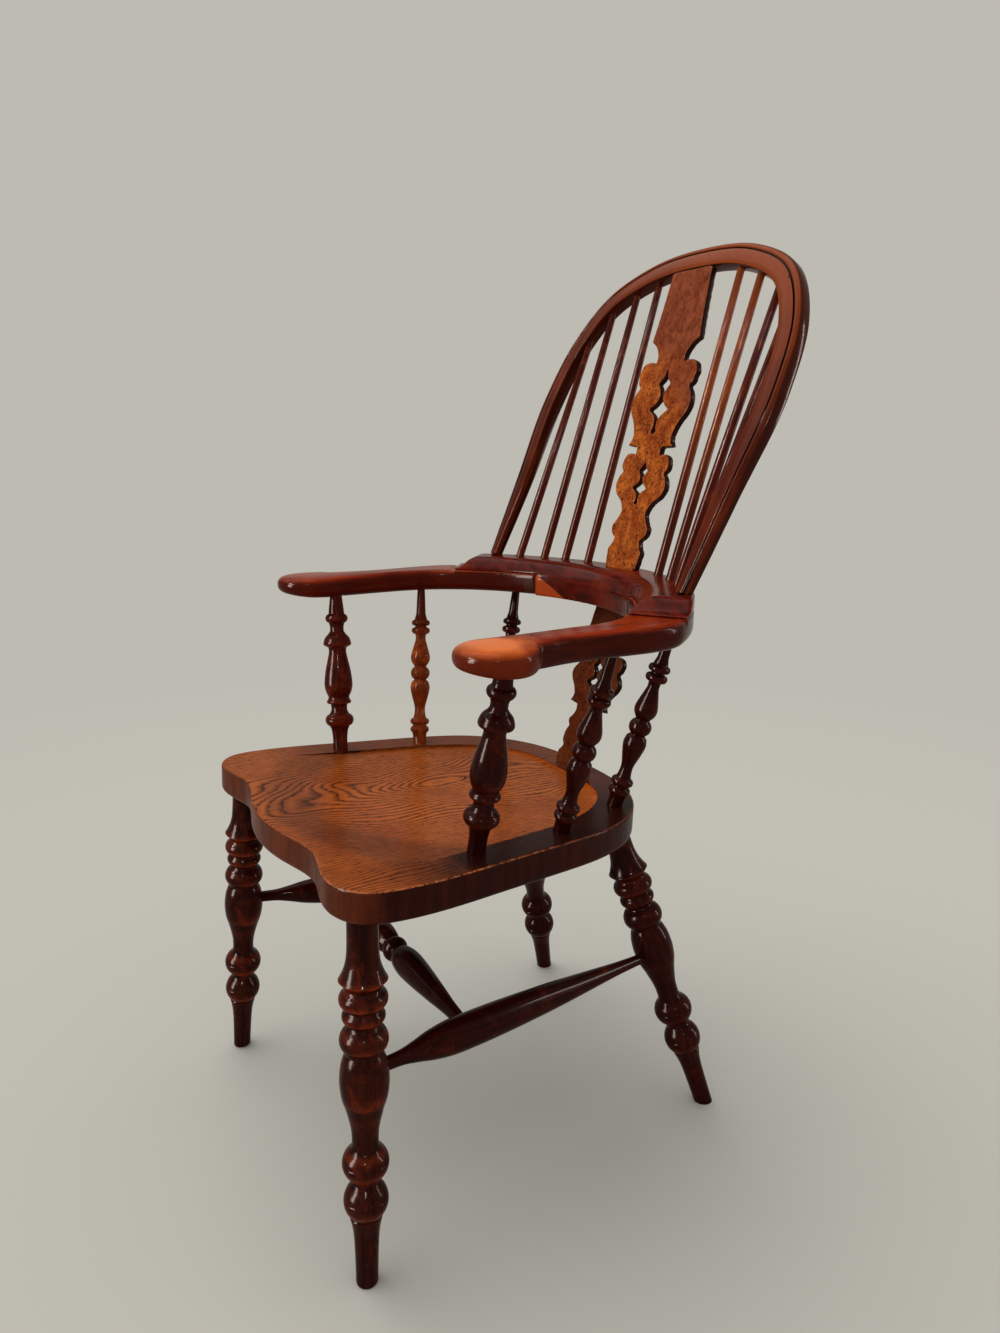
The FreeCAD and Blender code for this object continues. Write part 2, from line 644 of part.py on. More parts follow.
def arm_outline():
    """Plan of the left arm at the level of its underside."""
    z = ARM_BOTTOM
    joint_out = on_bow(BOW_OUTER, BOW_JOINT_ANGLE, z)
    joint_in = on_bow(BOW_INNER, BOW_JOINT_ANGLE, z)
    out_mid = on_bow(BOW_OUTER, (BOW_JOINT_ANGLE + CREST_END_ANGLE) / 2, z)
    out_end = on_bow(BOW_OUTER, CREST_END_ANGLE + 2.0, z)
    in_mid = on_bow(BOW_INNER, (BOW_JOINT_ANGLE + CREST_END_ANGLE) / 2 - 4.0, z)
    in_end = on_bow(BOW_INNER, CREST_END_ANGLE - 8.0, z)
    notch_x = ARM_OUTER_X + PAD_NOTCH
    notch = Vector(notch_x, PAD_Y + math.sqrt(PAD_RADIUS ** 2 - (notch_x - PAD_X) ** 2), z)
    pad_front = Vector(PAD_X, PAD_Y - PAD_RADIUS, z)
    pad_in = Vector(PAD_X - PAD_RADIUS, PAD_Y, z)
    swing_out = out_end - Vector(0, BOW_CENTRE, z)
    swing_in = in_end - Vector(0, BOW_CENTRE, z)
    outer = [out_end, Vector(ARM_OUTER_X + 4.0, 55.0, z), Vector(ARM_OUTER_X, 0.0, z),
             Vector(ARM_OUTER_X + 2.0, -45.0, z), notch]
    inner = [pad_in, Vector(ARM_INNER_X + 1.0, -50.0, z), Vector(ARM_INNER_X + 2.0, 0.0, z),
             Vector(ARM_INNER_X - 5.0, 48.0, z), in_end]
    return [
        Part.Arc(joint_out, out_mid, out_end).toShape(),
        spline(outer, tangents=(Vector(swing_out.y, -swing_out.x, 0), Vector(0.1, -1, 0))).toShape(),
        Part.Arc(notch, pad_front, pad_in).toShape(),
        spline(inner, tangents=(Vector(0, 1, 0), Vector(-swing_in.y, swing_in.x, 0))).toShape(),
        Part.Arc(in_end, in_mid, joint_in).toShape(),
        Part.makeLine(joint_in, joint_out),
    ]


def pad_hollow():
    """What is carved away below a hand pad, so that its tip curves up."""
    reach = PAD_LIFT_RADIUS
    block = Part.makeBox(reach, reach, reach, Vector(PAD_X - reach / 2, PAD_LIFT_Y - reach, ARM_BOTTOM))
    axis = Vector(PAD_X - reach, PAD_LIFT_Y, ARM_BOTTOM + PAD_LIFT_RADIUS)
    return block.cut(Part.makeCylinder(PAD_LIFT_RADIUS, 2 * reach, axis, SIDEWAYS))


def long_edges(arm, low, high):
    """Edges of an arm that run along it between two heights, without its joints and its cross lines."""
    joint = (on_bow(BOW_INNER, BOW_JOINT_ANGLE, 0.0) + on_bow(BOW_OUTER, BOW_JOINT_ANGLE, 0.0)) * 0.5
    found = []
    for edge in arm.Edges:
        box = edge.BoundBox
        middle = Vector(edge.CenterOfMass.x, edge.CenterOfMass.y, 0)
        cross = box.YLength < 0.1 and abs(middle.y - PAD_LIFT_Y) < 0.1
        if box.ZMin > low and box.ZMax < high and (middle - joint).Length > 1.0 and not cross:
            found.append(edge)
    return found


def make_left_arm():
    arm = prism(arm_outline(), UP * ARM_THICKNESS).cut(pad_hollow())
    tip = PAD_LIFT_Y - PAD_Y + PAD_RADIUS
    lift = PAD_LIFT_RADIUS - math.sqrt(PAD_LIFT_RADIUS ** 2 - tip ** 2)
    arm = arm.makeFillet(ARM_UNDER_ROUND, long_edges(arm, ARM_BOTTOM - 0.1, ARM_BOTTOM + lift + 0.1))
    crest = bow_wedge(CREST_END_ANGLE, ARM_BOTTOM - 1.0, CREST_TOP)
    free = arm.cut(crest)
    seated = arm.common(crest)
    end = on_bow(BOW_INNER, CREST_END_ANGLE, 0.0).y
    over = [e for e in long_edges(free, ARM_TOP - 0.1, ARM_TOP + 0.1) if e.BoundBox.YMin < end - 1.0]
    free = free.makeFillet(ARM_TOP_ROUND, over)
    return free.fuse(seated).removeSplitter()


# Screws

def screw_line(angle):
    """Axis of a crest screw, from the underside of the arm upwards."""
    low = on_bow(BOW_INNER + SCREW_INSET, angle, ARM_BOTTOM)
    return low, low + UP * SCREW_LENGTH


def screw_body(angle, gap):
    """A countersunk screw, or with a gap the hole that it passes through."""
    low, high = screw_line(angle)
    head = Part.makeCone(SCREW_HEAD / 2 + gap, SCREW_SHANK / 2 + gap, SCREW_HEAD_DEPTH, low, UP)
    shank = Part.makeCylinder(SCREW_SHANK / 2 + gap, SCREW_LENGTH + gap, low, UP)
    return head.fuse(shank).removeSplitter()


def screw_angles():
    """All the screws, on both sides of the middle."""
    return [side * angle for side in (1, -1) for angle in SCREW_ANGLES]


# Hoop

def hoop_foot():
    """Middle of the hoop's left foot, on top of the crest."""
    return on_bow(STICK_CIRCLE, HOOP_FOOT_ANGLE, CREST_TOP)


def in_hoop(x, rise, depth=0.0):
    """A point given across the hoop, up its slope from the foot, and in front of it."""
    return Vector(
        x,
        hoop_foot().y + rise * HOOP_RAKE / HOOP_SLOPE - depth / HOOP_SLOPE,
        CREST_TOP + rise / HOOP_SLOPE + depth * HOOP_RAKE / HOOP_SLOPE,
    )


def hoop_places():
    """Outer edge of half the hoop as (half width, rise, face width), foot to crown."""
    top = HOOP_RISE - HOOP_WIDEST_AT
    foot = hoop_foot().x + HOOP_FOOT_FACE / 2
    wide = foot + HOOP_SWELL
    mid_face = (HOOP_FOOT_FACE + HOOP_FACE) / 2
    return [
        (foot, 0.0, HOOP_FOOT_FACE),
        (foot + HOOP_SWELL * 0.45, HOOP_WIDEST_AT * 0.48, mid_face + 1.0),
        (wide, HOOP_WIDEST_AT, HOOP_FACE),
        (wide * 0.936, HOOP_WIDEST_AT + top * 0.424, HOOP_FACE),
        (wide * 0.752, HOOP_WIDEST_AT + top * 0.757, HOOP_FACE),
        (wide * 0.44, HOOP_WIDEST_AT + top * 0.938, HOOP_FACE),
        (0.0, HOOP_RISE, HOOP_FACE),
    ]


def hoop_curve(share, depth=0.0):
    """Curve along the hoop: share 1 is its outer edge and share 0 its inner edge."""
    places = hoop_places()
    points = []
    for i, (x, rise, face) in enumerate(places):
        before = places[max(i - 1, 0)]
        after = places[min(i + 1, len(places) - 1)]
        if i == len(places) - 1:
            after = (-before[0], before[1], before[2])
        run = Vector(after[0] - before[0], after[1] - before[1], 0)
        inward = Vector(-run.y, run.x, 0).normalize()
        step = face * (1.0 - share)
        points.append((x + inward.x * step, rise + inward.y * step if i else 0.0))
    right = [in_hoop(x, rise, depth) for x, rise in points]
    left = [in_hoop(-x, rise, depth) for x, rise in reversed(points[:-1])]
    return spline(right + left)


def hoop_prism(outer_share, inner_share, back, front):
    """The part of the hoop between two of its curves and two depths."""
    outer = hoop_curve(outer_share, back).toShape()
    inner = hoop_curve(inner_share, back).toShape()
    first = Part.makeLine(outer.Vertexes[0].Point, inner.Vertexes[0].Point)
    last = Part.makeLine(outer.Vertexes[-1].Point, inner.Vertexes[-1].Point)
    depth = in_hoop(0, 0, 1.0) - in_hoop(0, 0, 0.0)
    return prism([outer, inner, first, last], depth * (front - back))


def hoop_taper(face):
    """Wedge that thins the hoop towards its foot, on its front or its back."""
    half = HOOP_THICKNESS / 2 * face
    thin = HOOP_FOOT_THICKNESS / 2 * face
    reach = BOW_OUTER
    profile = [
        in_hoop(-reach, -20.0, thin - (half - thin) * 20.0 / HOOP_WIDEST_AT),
        in_hoop(-reach, HOOP_WIDEST_AT, half),
        in_hoop(-reach, HOOP_WIDEST_AT, half + 30.0 * face),
        in_hoop(-reach, -20.0, half + 30.0 * face),
    ]
    edges = [Part.makeLine(profile[i], profile[(i + 1) % 4]) for i in range(4)]
    return prism(edges, SIDEWAYS * reach * 2)


def hoop_tenon_line():
    """Axis of the left foot tenon, from inside the hoop down into the arm."""
    places = hoop_places()
    foot = hoop_foot()
    toward = in_hoop(places[1][0] - places[1][2] / 2, places[1][1])
    return along(foot, toward, HOOP_FOOT_FACE), along(foot, toward, -HOOP_TENON_DEPTH)


def hoop_point(x):
    """The point on the middle line of the hoop at a distance from its centre."""
    curve = hoop_curve(0.5)
    widest = hoop_places()[2]
    low = curve.parameter(in_hoop(widest[0] - HOOP_FACE / 2, widest[1]))
    high = (curve.FirstParameter + curve.LastParameter) / 2
    for _ in range(50):
        middle = (low + high) / 2
        if curve.value(middle).x > x:
            low = middle
        else:
            high = middle
    return curve.value(low)


def make_hoop():
    half = HOOP_THICKNESS / 2
    hoop = hoop_prism(1.0, 0.0, -half, half)
    groove_out = HOOP_GROOVE_PLACE + HOOP_GROOVE_WIDTH / HOOP_FACE
    hoop = hoop.cut(hoop_prism(groove_out, HOOP_GROOVE_PLACE, half - HOOP_GROOVE_DEPTH, half + 1.0))
    hoop = hoop.cut(hoop_taper(1)).cut(hoop_taper(-1))
    hoop = hoop.cut(box_below(CREST_TOP))
    start, end = hoop_tenon_line()
    tenon = rod(start, end, HOOP_TENON)
    return hoop.fuse([tenon, mirrored(tenon)]).removeSplitter()


# Sticks

def stick_line(index):
    """Axis of a left-hand stick from the crest's top to the middle of the hoop."""
    foot = on_bow(STICK_CIRCLE, STICK_ANGLES[index], CREST_TOP)
    return foot, hoop_point(foot.x + STICK_LEANS[index])


def make_stick(index):
    foot, head = stick_line(index)
    length = (head - foot).Length
    t = Turning(-STICK_DEPTH, STICK_FOOT)
    t.line(0.0, STICK_FOOT)
    t.flow((length * 0.35, STICK_FOOT * 1.02), (length * 0.7, STICK_HEAD * 1.08), (length - HOOP_FACE, STICK_HEAD))
    t.line(length, STICK_HEAD)
    return t.solid(foot, head)


def stick_foot_socket(index):
    foot, head = stick_line(index)
    return socket(along(foot, head, -STICK_DEPTH - END_GAP), along(foot, head, STICK_FOOT), STICK_FOOT)


def stick_head_socket(index):
    foot, head = stick_line(index)
    length = (head - foot).Length
    return socket(along(foot, head, length - HOOP_FACE), along(foot, head, length + END_GAP), STICK_HEAD)


# Splats

def splat_frame(foot, head, drawn):
    """Function that turns (across, drawn rise, in front) into a point of a splat from foot to head."""
    upwards = (head - foot).normalize()
    forwards = SIDEWAYS.cross(upwards)
    stretch = (head - foot).Length / drawn

    def place(x, rise, depth=0.0):
        return foot + SIDEWAYS * x + upwards * rise * stretch + forwards * depth

    return place


def bulged(place, start, end, bulge, depth):
    """Straight edge or arc between two (half width, rise) places, bulging outwards."""
    a = place(start[0], start[1], depth)
    b = place(end[0], end[1], depth)
    if abs(bulge) < 0.01:
        return Part.makeLine(a, b)
    run = Vector(end[0] - start[0], end[1] - start[1], 0).normalize()
    mid = ((start[0] + end[0]) / 2 + run.y * bulge, (start[1] + end[1]) / 2 - run.x * bulge)
    return Part.Arc(a, place(mid[0], mid[1], depth), b).toShape()


def splat_solid(place, half_outline, thickness):
    """A flat piece from its right-hand outline of (half width, rise, bulge) places."""
    depth = -thickness / 2
    edges = []
    for start, end in zip(half_outline, half_outline[1:]):
        edges.append(bulged(place, start, end, end[2], depth))
        left_start, left_end = (-start[0], start[1]), (-end[0], end[1])
        edges.append(bulged(place, left_start, left_end, -end[2], depth))
    for x, rise, _ in (half_outline[0], half_outline[-1]):
        if x > 0:
            edges.append(Part.makeLine(place(-x, rise, depth), place(x, rise, depth)))
    return prism(edges, place(0, 0, thickness) - place(0, 0, 0))


def motif(base, scale, width):
    """Outline of one fretted motif from its barbs to its scrolls."""
    shape = [
        (0.77, 0.0, 0.0), (0.66, 15.0, -2.0), (0.85, 38.0, -1.5), (1.0, 58.0, 2.0), (0.80, 80.0, 2.5),
        (0.93, 92.0, 3.0), (0.93, 104.0, 2.0), (0.74, 114.0, 2.5), (0.48, 112.0, 1.5),
    ]
    return [(width * w, base + r * scale, b * scale) for w, r, b in shape]


def motif_hole(base, scale, width):
    """The piercing of one motif: slit, cusped diamonds and a drop at the foot."""
    shape = [
        (0.0, 16.0, 0.0), (0.085, 20.0, 0.8), (0.03, 25.0, -0.3), (0.035, 35.0, 0.0), (0.34, 49.0, -2.2),
        (0.05, 63.0, -2.2), (0.05, 70.0, 0.0), (0.20, 84.0, -1.6), (0.03, 96.0, -1.4), (0.0, 109.0, 0.0),
    ]
    return [(width * w, base + r * scale, b * scale) for w, r, b in shape]


def ended(outline, foot, top, head, depth):
    """An outline with the tenons of its two ends: half widths at the foot and head, and the head's depth."""
    low, high = foot - SPLAT_SHOULDER, head - SPLAT_SHOULDER
    start = [(low, -SPLAT_DEPTH, 0.0), (low, 0.0, 0.0), (foot, 0.0, 0.0)]
    end = [(head, top, -1.0), (high, top, 0.0), (high, top + depth, 0.0)]
    return start + outline + end


def upper_splat_outline():
    """Right-hand outline of the upper splat, from its tenon to the hoop."""
    w = SPLAT_WAIST
    lower = [
        (w * 1.38, 24.0, 0.0), (w * 1.04, 40.0, -1.5), (w * 1.46, 57.0, 4.5), (w, 75.0, -1.0),
        (w * 1.58, 95.0, -3.0), (w * 2.02, 111.0, 2.0), (w * 1.60, 131.0, 3.0), (w * 1.83, 146.0, 4.0),
        (w * 1.50, 156.0, 2.0), (w * 0.96, 153.0, 1.5), (w * 0.98, 165.0, 0.0),
    ]
    upper = [(w * 1.08, 282.0, 0.0), (w * 1.10, 290.0, -0.5), (w * 1.85, 309.0, -3.0)]
    outline = lower + motif(167.0, 1.0, SPLAT_MOTIF_HALF) + upper
    return ended(outline, UPPER_SPLAT_FOOT, UPPER_SPLAT_DRAWN, UPPER_SPLAT_HEAD, SPLAT_HOOP_DEPTH)


def lower_splat_outline():
    """Right-hand outline of the lower splat, from the seat to the bow."""
    w = SPLAT_WAIST
    lower = [
        (w * 1.35, 16.0, 0.0), (w * 1.04, 26.0, -1.0), (w * 1.22, 40.0, 2.5), (w * 0.98, 54.0, 1.5),
        (w * 1.18, 64.0, 2.0), (w * 0.80, 78.0, -1.5), (w * 0.84, 86.0, 0.0),
    ]
    upper = [(w * 0.98, 168.0, 0.0), (w * 1.0, 175.0, -0.5), (w * 1.70, 188.0, -2.5)]
    outline = lower + motif(88.0, 0.68, SPLAT_MOTIF_HALF * 0.87) + upper
    return ended(outline, LOWER_SPLAT_FOOT, LOWER_SPLAT_DRAWN, LOWER_SPLAT_HEAD, SPLAT_DEPTH)


def upper_frame():
    """Places on the upper splat, from the crest to the inner edge of the hoop."""
    foot = Vector(0, BOW_CENTRE + STICK_CIRCLE - UPPER_SPLAT_FORWARD, CREST_TOP)
    crown = in_hoop(0.0, HOOP_RISE - HOOP_FACE)
    return splat_frame(foot, crown - Vector(0, UPPER_SPLAT_HEAD_FORWARD, 0), UPPER_SPLAT_DRAWN)


def lower_frame():
    """Places on the lower splat, from the seat to the underside of the bow."""
    foot = on_seat(0.0, SEAT_BACK - LOWER_SPLAT_INSET, SEAT_TOP)
    head = on_bow(BOW_INNER + LOWER_SPLAT_UNDER_BOW, 0.0, ARM_BOTTOM)
    return splat_frame(foot, head, LOWER_SPLAT_DRAWN)


def make_upper_splat():
    place = upper_frame()
    splat = splat_solid(place, upper_splat_outline(), SPLAT_THICKNESS)
    for base, scale, width in ((167.0, 1.0, SPLAT_MOTIF_HALF), (76.0, 0.68, SPLAT_MOTIF_HALF * 0.8)):
        splat = splat.cut(splat_solid(place, motif_hole(base, scale, width), SPLAT_THICKNESS * 3))
    return splat


def make_lower_splat():
    place = lower_frame()
    splat = splat_solid(place, lower_splat_outline(), SPLAT_THICKNESS)
    hole = motif_hole(88.0, 0.68, SPLAT_MOTIF_HALF * 0.87)
    return splat.cut(splat_solid(place, hole, SPLAT_THICKNESS * 3))


def splat_slot(place, half, rise_from, rise_to):
    """Slot for one end of a splat of a half width, a glue gap larger than its tenon all round."""
    half = half - SPLAT_SHOULDER + GLUE_GAP
    outline = [(half, rise_from, 0.0), (half, rise_to, 0.0)]
    return splat_solid(place, outline, SPLAT_THICKNESS + 2 * GLUE_GAP)


# Whole chair

def build():
    """All the pieces by name, before they are moved to the common origin."""
    pieces = {}
    seat = make_seat()
    for name, (low, high) in (("front", front_leg_line()), ("rear", rear_leg_line())):
        pieces[name + "_left_leg"] = make_leg(low, high)
        hole = leg_socket(low, high)
        seat = seat.cut(hole).cut(mirrored(hole))

    side = make_side_stretcher()
    start, end = stretcher_ends()
    front_hole = socket(along(start, end, -END_GAP), along(start, end, LEG_VASE), STRETCHER_FRONT_END)
    rear_hole = socket(along(end, start, -END_GAP), along(end, start, LEG_VASE), STRETCHER_REAR_END)
    pieces["front_left_leg"] = pieces["front_left_leg"].cut(front_hole)
    pieces["rear_left_leg"] = pieces["rear_left_leg"].cut(rear_hole)
    left = cross_line()[1]
    tip = Vector(cross_half(), left.y, left.z)
    cross_hole = socket(tip - SIDEWAYS * STRETCHER_SWELL, tip + SIDEWAYS * END_GAP, CROSS_END)
    pieces["left_stretcher"] = side.cut(cross_hole)
    pieces["cross_stretcher"] = make_cross_stretcher()

    blank = make_left_arm()
    arm = blank
    crest = make_crest()
    for name, (turning, line, tenon, top) in POSTS.items():
        pieces[name + "_left_post"] = make_post(turning, line, tenon, top, blank)
        hole = post_foot_socket(line, tenon)
        seat = seat.cut(hole).cut(mirrored(hole))
        arm = arm.cut(post_head_socket(line, top))

    hoop = make_hoop()
    start, end = hoop_tenon_line()
    tenon_hole = socket(start, along(end, start, -END_GAP), HOOP_TENON)
    arm = arm.cut(tenon_hole)
    crest = crest.cut(tenon_hole).cut(mirrored(tenon_hole))
    for index in range(len(STICK_ANGLES)):
        pieces["left_stick_%d" % (index + 1)] = make_stick(index)
        foot_hole = stick_foot_socket(index)
        head_hole = stick_head_socket(index)
        crest = crest.cut(foot_hole).cut(mirrored(foot_hole))
        arm = arm.cut(foot_hole)
        hoop = hoop.cut(head_hole).cut(mirrored(head_hole))

    above, below = upper_frame(), lower_frame()
    high, low = UPPER_SPLAT_DRAWN, LOWER_SPLAT_DRAWN
    crest = crest.cut(splat_slot(above, UPPER_SPLAT_FOOT, -SPLAT_DEPTH - END_GAP, SPLAT_DEPTH))
    hoop = hoop.cut(splat_slot(above, UPPER_SPLAT_HEAD, high - HOOP_FACE, high + SPLAT_HOOP_DEPTH + END_GAP))
    seat = seat.cut(splat_slot(below, LOWER_SPLAT_FOOT, -SPLAT_DEPTH - END_GAP, SPLAT_DEPTH))
    crest = crest.cut(splat_slot(below, LOWER_SPLAT_HEAD, low - SPLAT_DEPTH, low + SPLAT_DEPTH + END_GAP))
    pieces["upper_splat"] = make_upper_splat().cut(hoop).cut(crest)
    pieces["lower_splat"] = make_lower_splat().cut(crest).cut(seat)

    screws = []
    for angle in screw_angles():
        screws.append(screw_body(angle, 0.0))
        hole = screw_body(angle, GLUE_GAP)
        crest = crest.cut(hole)
        if angle > 0:
            arm = arm.cut(hole)

    for name in list(pieces):
        if "left" in name:
            pieces[name.replace("left", "right")] = mirrored(pieces[name])
    pieces["left_arm"] = arm
    pieces["right_arm"] = mirrored(arm)
    pieces["crest"] = crest
    pieces["hoop"] = hoop
    pieces["seat"] = seat
    pieces["crest_screws"] = Part.makeCompound(screws)
    return pieces


def main():
    os.makedirs("parts", exist_ok=True)
    pieces = build()
    whole = Part.makeCompound(list(pieces.values())).optimalBoundingBox(False, False)
    shift = Vector(0, -(whole.YMin + whole.YMax) / 2, 0)
    for name, shape in sorted(pieces.items()):
        shape.translate(shift)
        shape.exportStep("parts/%s.step" % name)
        print(name, "solids", len(shape.Solids), "valid", shape.isValid(), "litres", round(shape.Volume / 1e6, 4))
    print("chair moved by", [round(c, 3) for c in shift])
    print("size", round(whole.XLength, 1), round(whole.YLength, 1), round(whole.ZLength, 1))


main()
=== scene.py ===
# %% [markdown]
# A windsor armchair.  Long sticks and a pierced splat fill a bent hoop, a round bow of arms stands on turned
# posts, and a dished elm seat stands on turned legs.  The chair is loaded at its real size as a frame of
# separate pieces, and this lesson turns, bends and polishes finer ones over it.

# %% Load the chair
import json
import math
import bpy
from mathutils import Matrix, Vector

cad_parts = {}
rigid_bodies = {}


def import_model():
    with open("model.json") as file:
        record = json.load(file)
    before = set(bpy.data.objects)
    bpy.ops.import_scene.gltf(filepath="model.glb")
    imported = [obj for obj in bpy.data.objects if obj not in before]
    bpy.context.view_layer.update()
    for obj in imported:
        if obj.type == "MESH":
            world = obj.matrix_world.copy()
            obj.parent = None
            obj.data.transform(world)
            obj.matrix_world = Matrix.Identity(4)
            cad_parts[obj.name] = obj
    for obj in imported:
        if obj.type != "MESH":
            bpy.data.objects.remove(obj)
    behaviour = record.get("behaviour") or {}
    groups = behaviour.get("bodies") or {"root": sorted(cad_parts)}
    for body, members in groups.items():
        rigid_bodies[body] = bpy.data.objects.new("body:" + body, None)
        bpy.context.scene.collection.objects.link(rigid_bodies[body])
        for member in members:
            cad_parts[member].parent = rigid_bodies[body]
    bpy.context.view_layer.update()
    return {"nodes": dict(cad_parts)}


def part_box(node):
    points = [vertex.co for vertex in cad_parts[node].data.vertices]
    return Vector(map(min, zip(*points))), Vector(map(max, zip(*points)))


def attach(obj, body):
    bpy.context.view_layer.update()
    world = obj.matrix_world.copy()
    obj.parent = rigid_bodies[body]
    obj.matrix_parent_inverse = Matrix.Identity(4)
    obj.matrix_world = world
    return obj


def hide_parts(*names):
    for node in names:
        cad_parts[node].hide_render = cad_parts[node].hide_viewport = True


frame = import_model()
print("pieces:", len(frame["nodes"]))

# %% [markdown]
# A chair maker measures from the middle of the seat, in millimetres, and faces the sitter's way.  The frame
# is in metres and has its origin under the middle of the whole box.  Two helpers take a place on the maker's
# plan to the frame.  How far apart the two origins lie is read from the back of the crest.

# %% From the maker's plan to the frame
MM = 0.001
BOW_CENTRE = -68
BOW_INNER = 256
BOW_WIDTH = 70
PLAN_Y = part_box("crest")[1].y - (BOW_CENTRE + BOW_INNER + BOW_WIDTH) * MM


def at(x, y, z):
    return Vector((x * MM, y * MM + PLAN_Y, z * MM))


def plan_y(y):
    return at(0, y, 0).y


print("plan moved by", round(PLAN_Y, 4))

# %% [markdown]
# The seat is tipped so that its front is higher, as on many of these chairs, and everything that stands on it
# or under it has to follow.  The bow is a ring about one centre, so a place on it is an angle and a radius.

# %% Places on the seat and on the bow
SEAT_TOP = 440
SEAT_THICKNESS = 38
SEAT_PIVOT = 40
SEAT_TILT = math.tan(math.radians(2.3))
ARM_BOTTOM = SEAT_TOP + 221
ARM_THICKNESS = 30
ARM_TOP = ARM_BOTTOM + ARM_THICKNESS
CREST_TOP = ARM_TOP + 18


def on_seat(x, y, level=SEAT_TOP):
    return at(x, y, level + (SEAT_PIVOT - y) * SEAT_TILT)


def on_bow(radius, angle, height):
    turn = math.radians(angle)
    return at(radius * math.sin(turn), BOW_CENTRE + radius * math.cos(turn), height)


print("seat corner", on_seat(205, -271), "bow end", on_bow(BOW_INNER, 53.5, CREST_TOP))

# %% [markdown]
# Every wood is built from the same few nodes, so one helper adds a node and fills its sockets in order.  A
# value may be a number, a colour or the output of another node, which is then linked.

# %% Small helpers for materials
def put(tree, kind, *values, out=0, **settings):
    node = tree.nodes.new("ShaderNode" + kind)
    for name, value in settings.items():
        setattr(node, name, value)
    for socket, value in zip(node.inputs, values):
        if isinstance(value, bpy.types.NodeSocket):
            tree.links.new(value, socket)
        elif value is not None:
            socket.default_value = value
    return node.outputs[out]


def mix(tree, factor, first, second):
    return put(tree, "Mix", factor, *[None] * 5, first, second, out=2, data_type="RGBA")


def noise(tree, vector, scale, detail=3.0, rough=0.55, twist=0.0):
    return put(tree, "TexNoise", vector, None, scale, detail, rough, None, None, None, twist)


def between(tree, value, low, high, first=0.0, last=1.0):
    return put(tree, "MapRange", value, low, high, first, last)


def maths(tree, operation, first, second=None):
    return put(tree, "Math", first, second, operation=operation)


def times(tree, first, second):
    return maths(tree, "MULTIPLY", first, second)


def vectors(tree, operation, first, second=None, out=0):
    return put(tree, "VectorMath", first, second, operation=operation, out=out)


def window_of(tree, value, low, high, soft):
    """1 between two values and 0 outside them, with borders of a given softness."""
    rises = between(tree, value, low - soft, low + soft)
    return times(tree, rises, between(tree, value, high - soft, high + soft, 1.0, 0.0))


def stretched(tree, vector, scale):
    return put(tree, "Mapping", vector, None, None, scale)


def wander(tree, place, scale, reach):
    """A slow noise that lets a border wander by up to a distance either way."""
    return between(tree, noise(tree, place, scale, 3), 0.3, 0.7, -reach, reach)


def off_axis(tree, place, y, scale=(1, 1, 0)):
    """How far a place lies from the upright axis at y on the plan, with a scale for each direction."""
    away = vectors(tree, "ADD", place, (0, -plan_y(y), 0))
    away = vectors(tree, "MULTIPLY", away, scale)
    return vectors(tree, "LENGTH", away, out="Value")

# %% [markdown]
# A colour picked from a photograph is brighter than the number that the shader wants, because screens store
# colours on a curve.  This helper undoes the curve, so a wood can be written as the colour that the eye sees.

# %% Colours as the eye sees them
def seen(red, green, blue):
    return tuple(((c / 255 + 0.055) / 1.055) ** 2.4 for c in (red, green, blue)) + (1,)


def new_material(name):
    material = bpy.data.materials.new(name)
    material.use_nodes = True
    return material, material.node_tree, material.node_tree.nodes["Principled BSDF"]


WAX_SHINE = 0.02


def polish(tree, shader, colour, roughness, coat, bump, depth, coat_roughness=0.04):
    """Joins a wood's colour, sheen and relief to its shader: a waxed surface under a thin clear polish."""
    tree.links.new(colour, shader.inputs["Base Color"])
    tree.links.new(roughness, shader.inputs["Roughness"])
    shader.inputs["Specular IOR Level"].default_value = WAX_SHINE
    shader.inputs["Coat Weight"].default_value = coat
    shader.inputs["Coat Roughness"].default_value = coat_roughness
    tree.links.new(put(tree, "Bump", 0.6, depth, None, bump), shader.inputs["Normal"])


def facing(tree, direction):
    """How squarely the surface looks in a direction of the chair, from -1 to 1."""
    normal = put(tree, "TexCoord", out="Normal")
    return vectors(tree, "DOT_PRODUCT", normal, direction, out="Value")


def parts(tree, vector):
    """The three coordinates of a place, one by one."""
    return put(tree, "SeparateXYZ", vector).node.outputs

# %% [markdown]
# The turned pieces were stained nearly black.  A century of hands and dusters has rubbed the stain off the
# proud edges of the rings, where the reddish wood shows.  Two things are stored on each turned mesh when it
# comes off the lathe: "bench", its straight coordinates, so that the grain runs along the piece however it
# leans, and "worn", how proud and how exposed each place is.

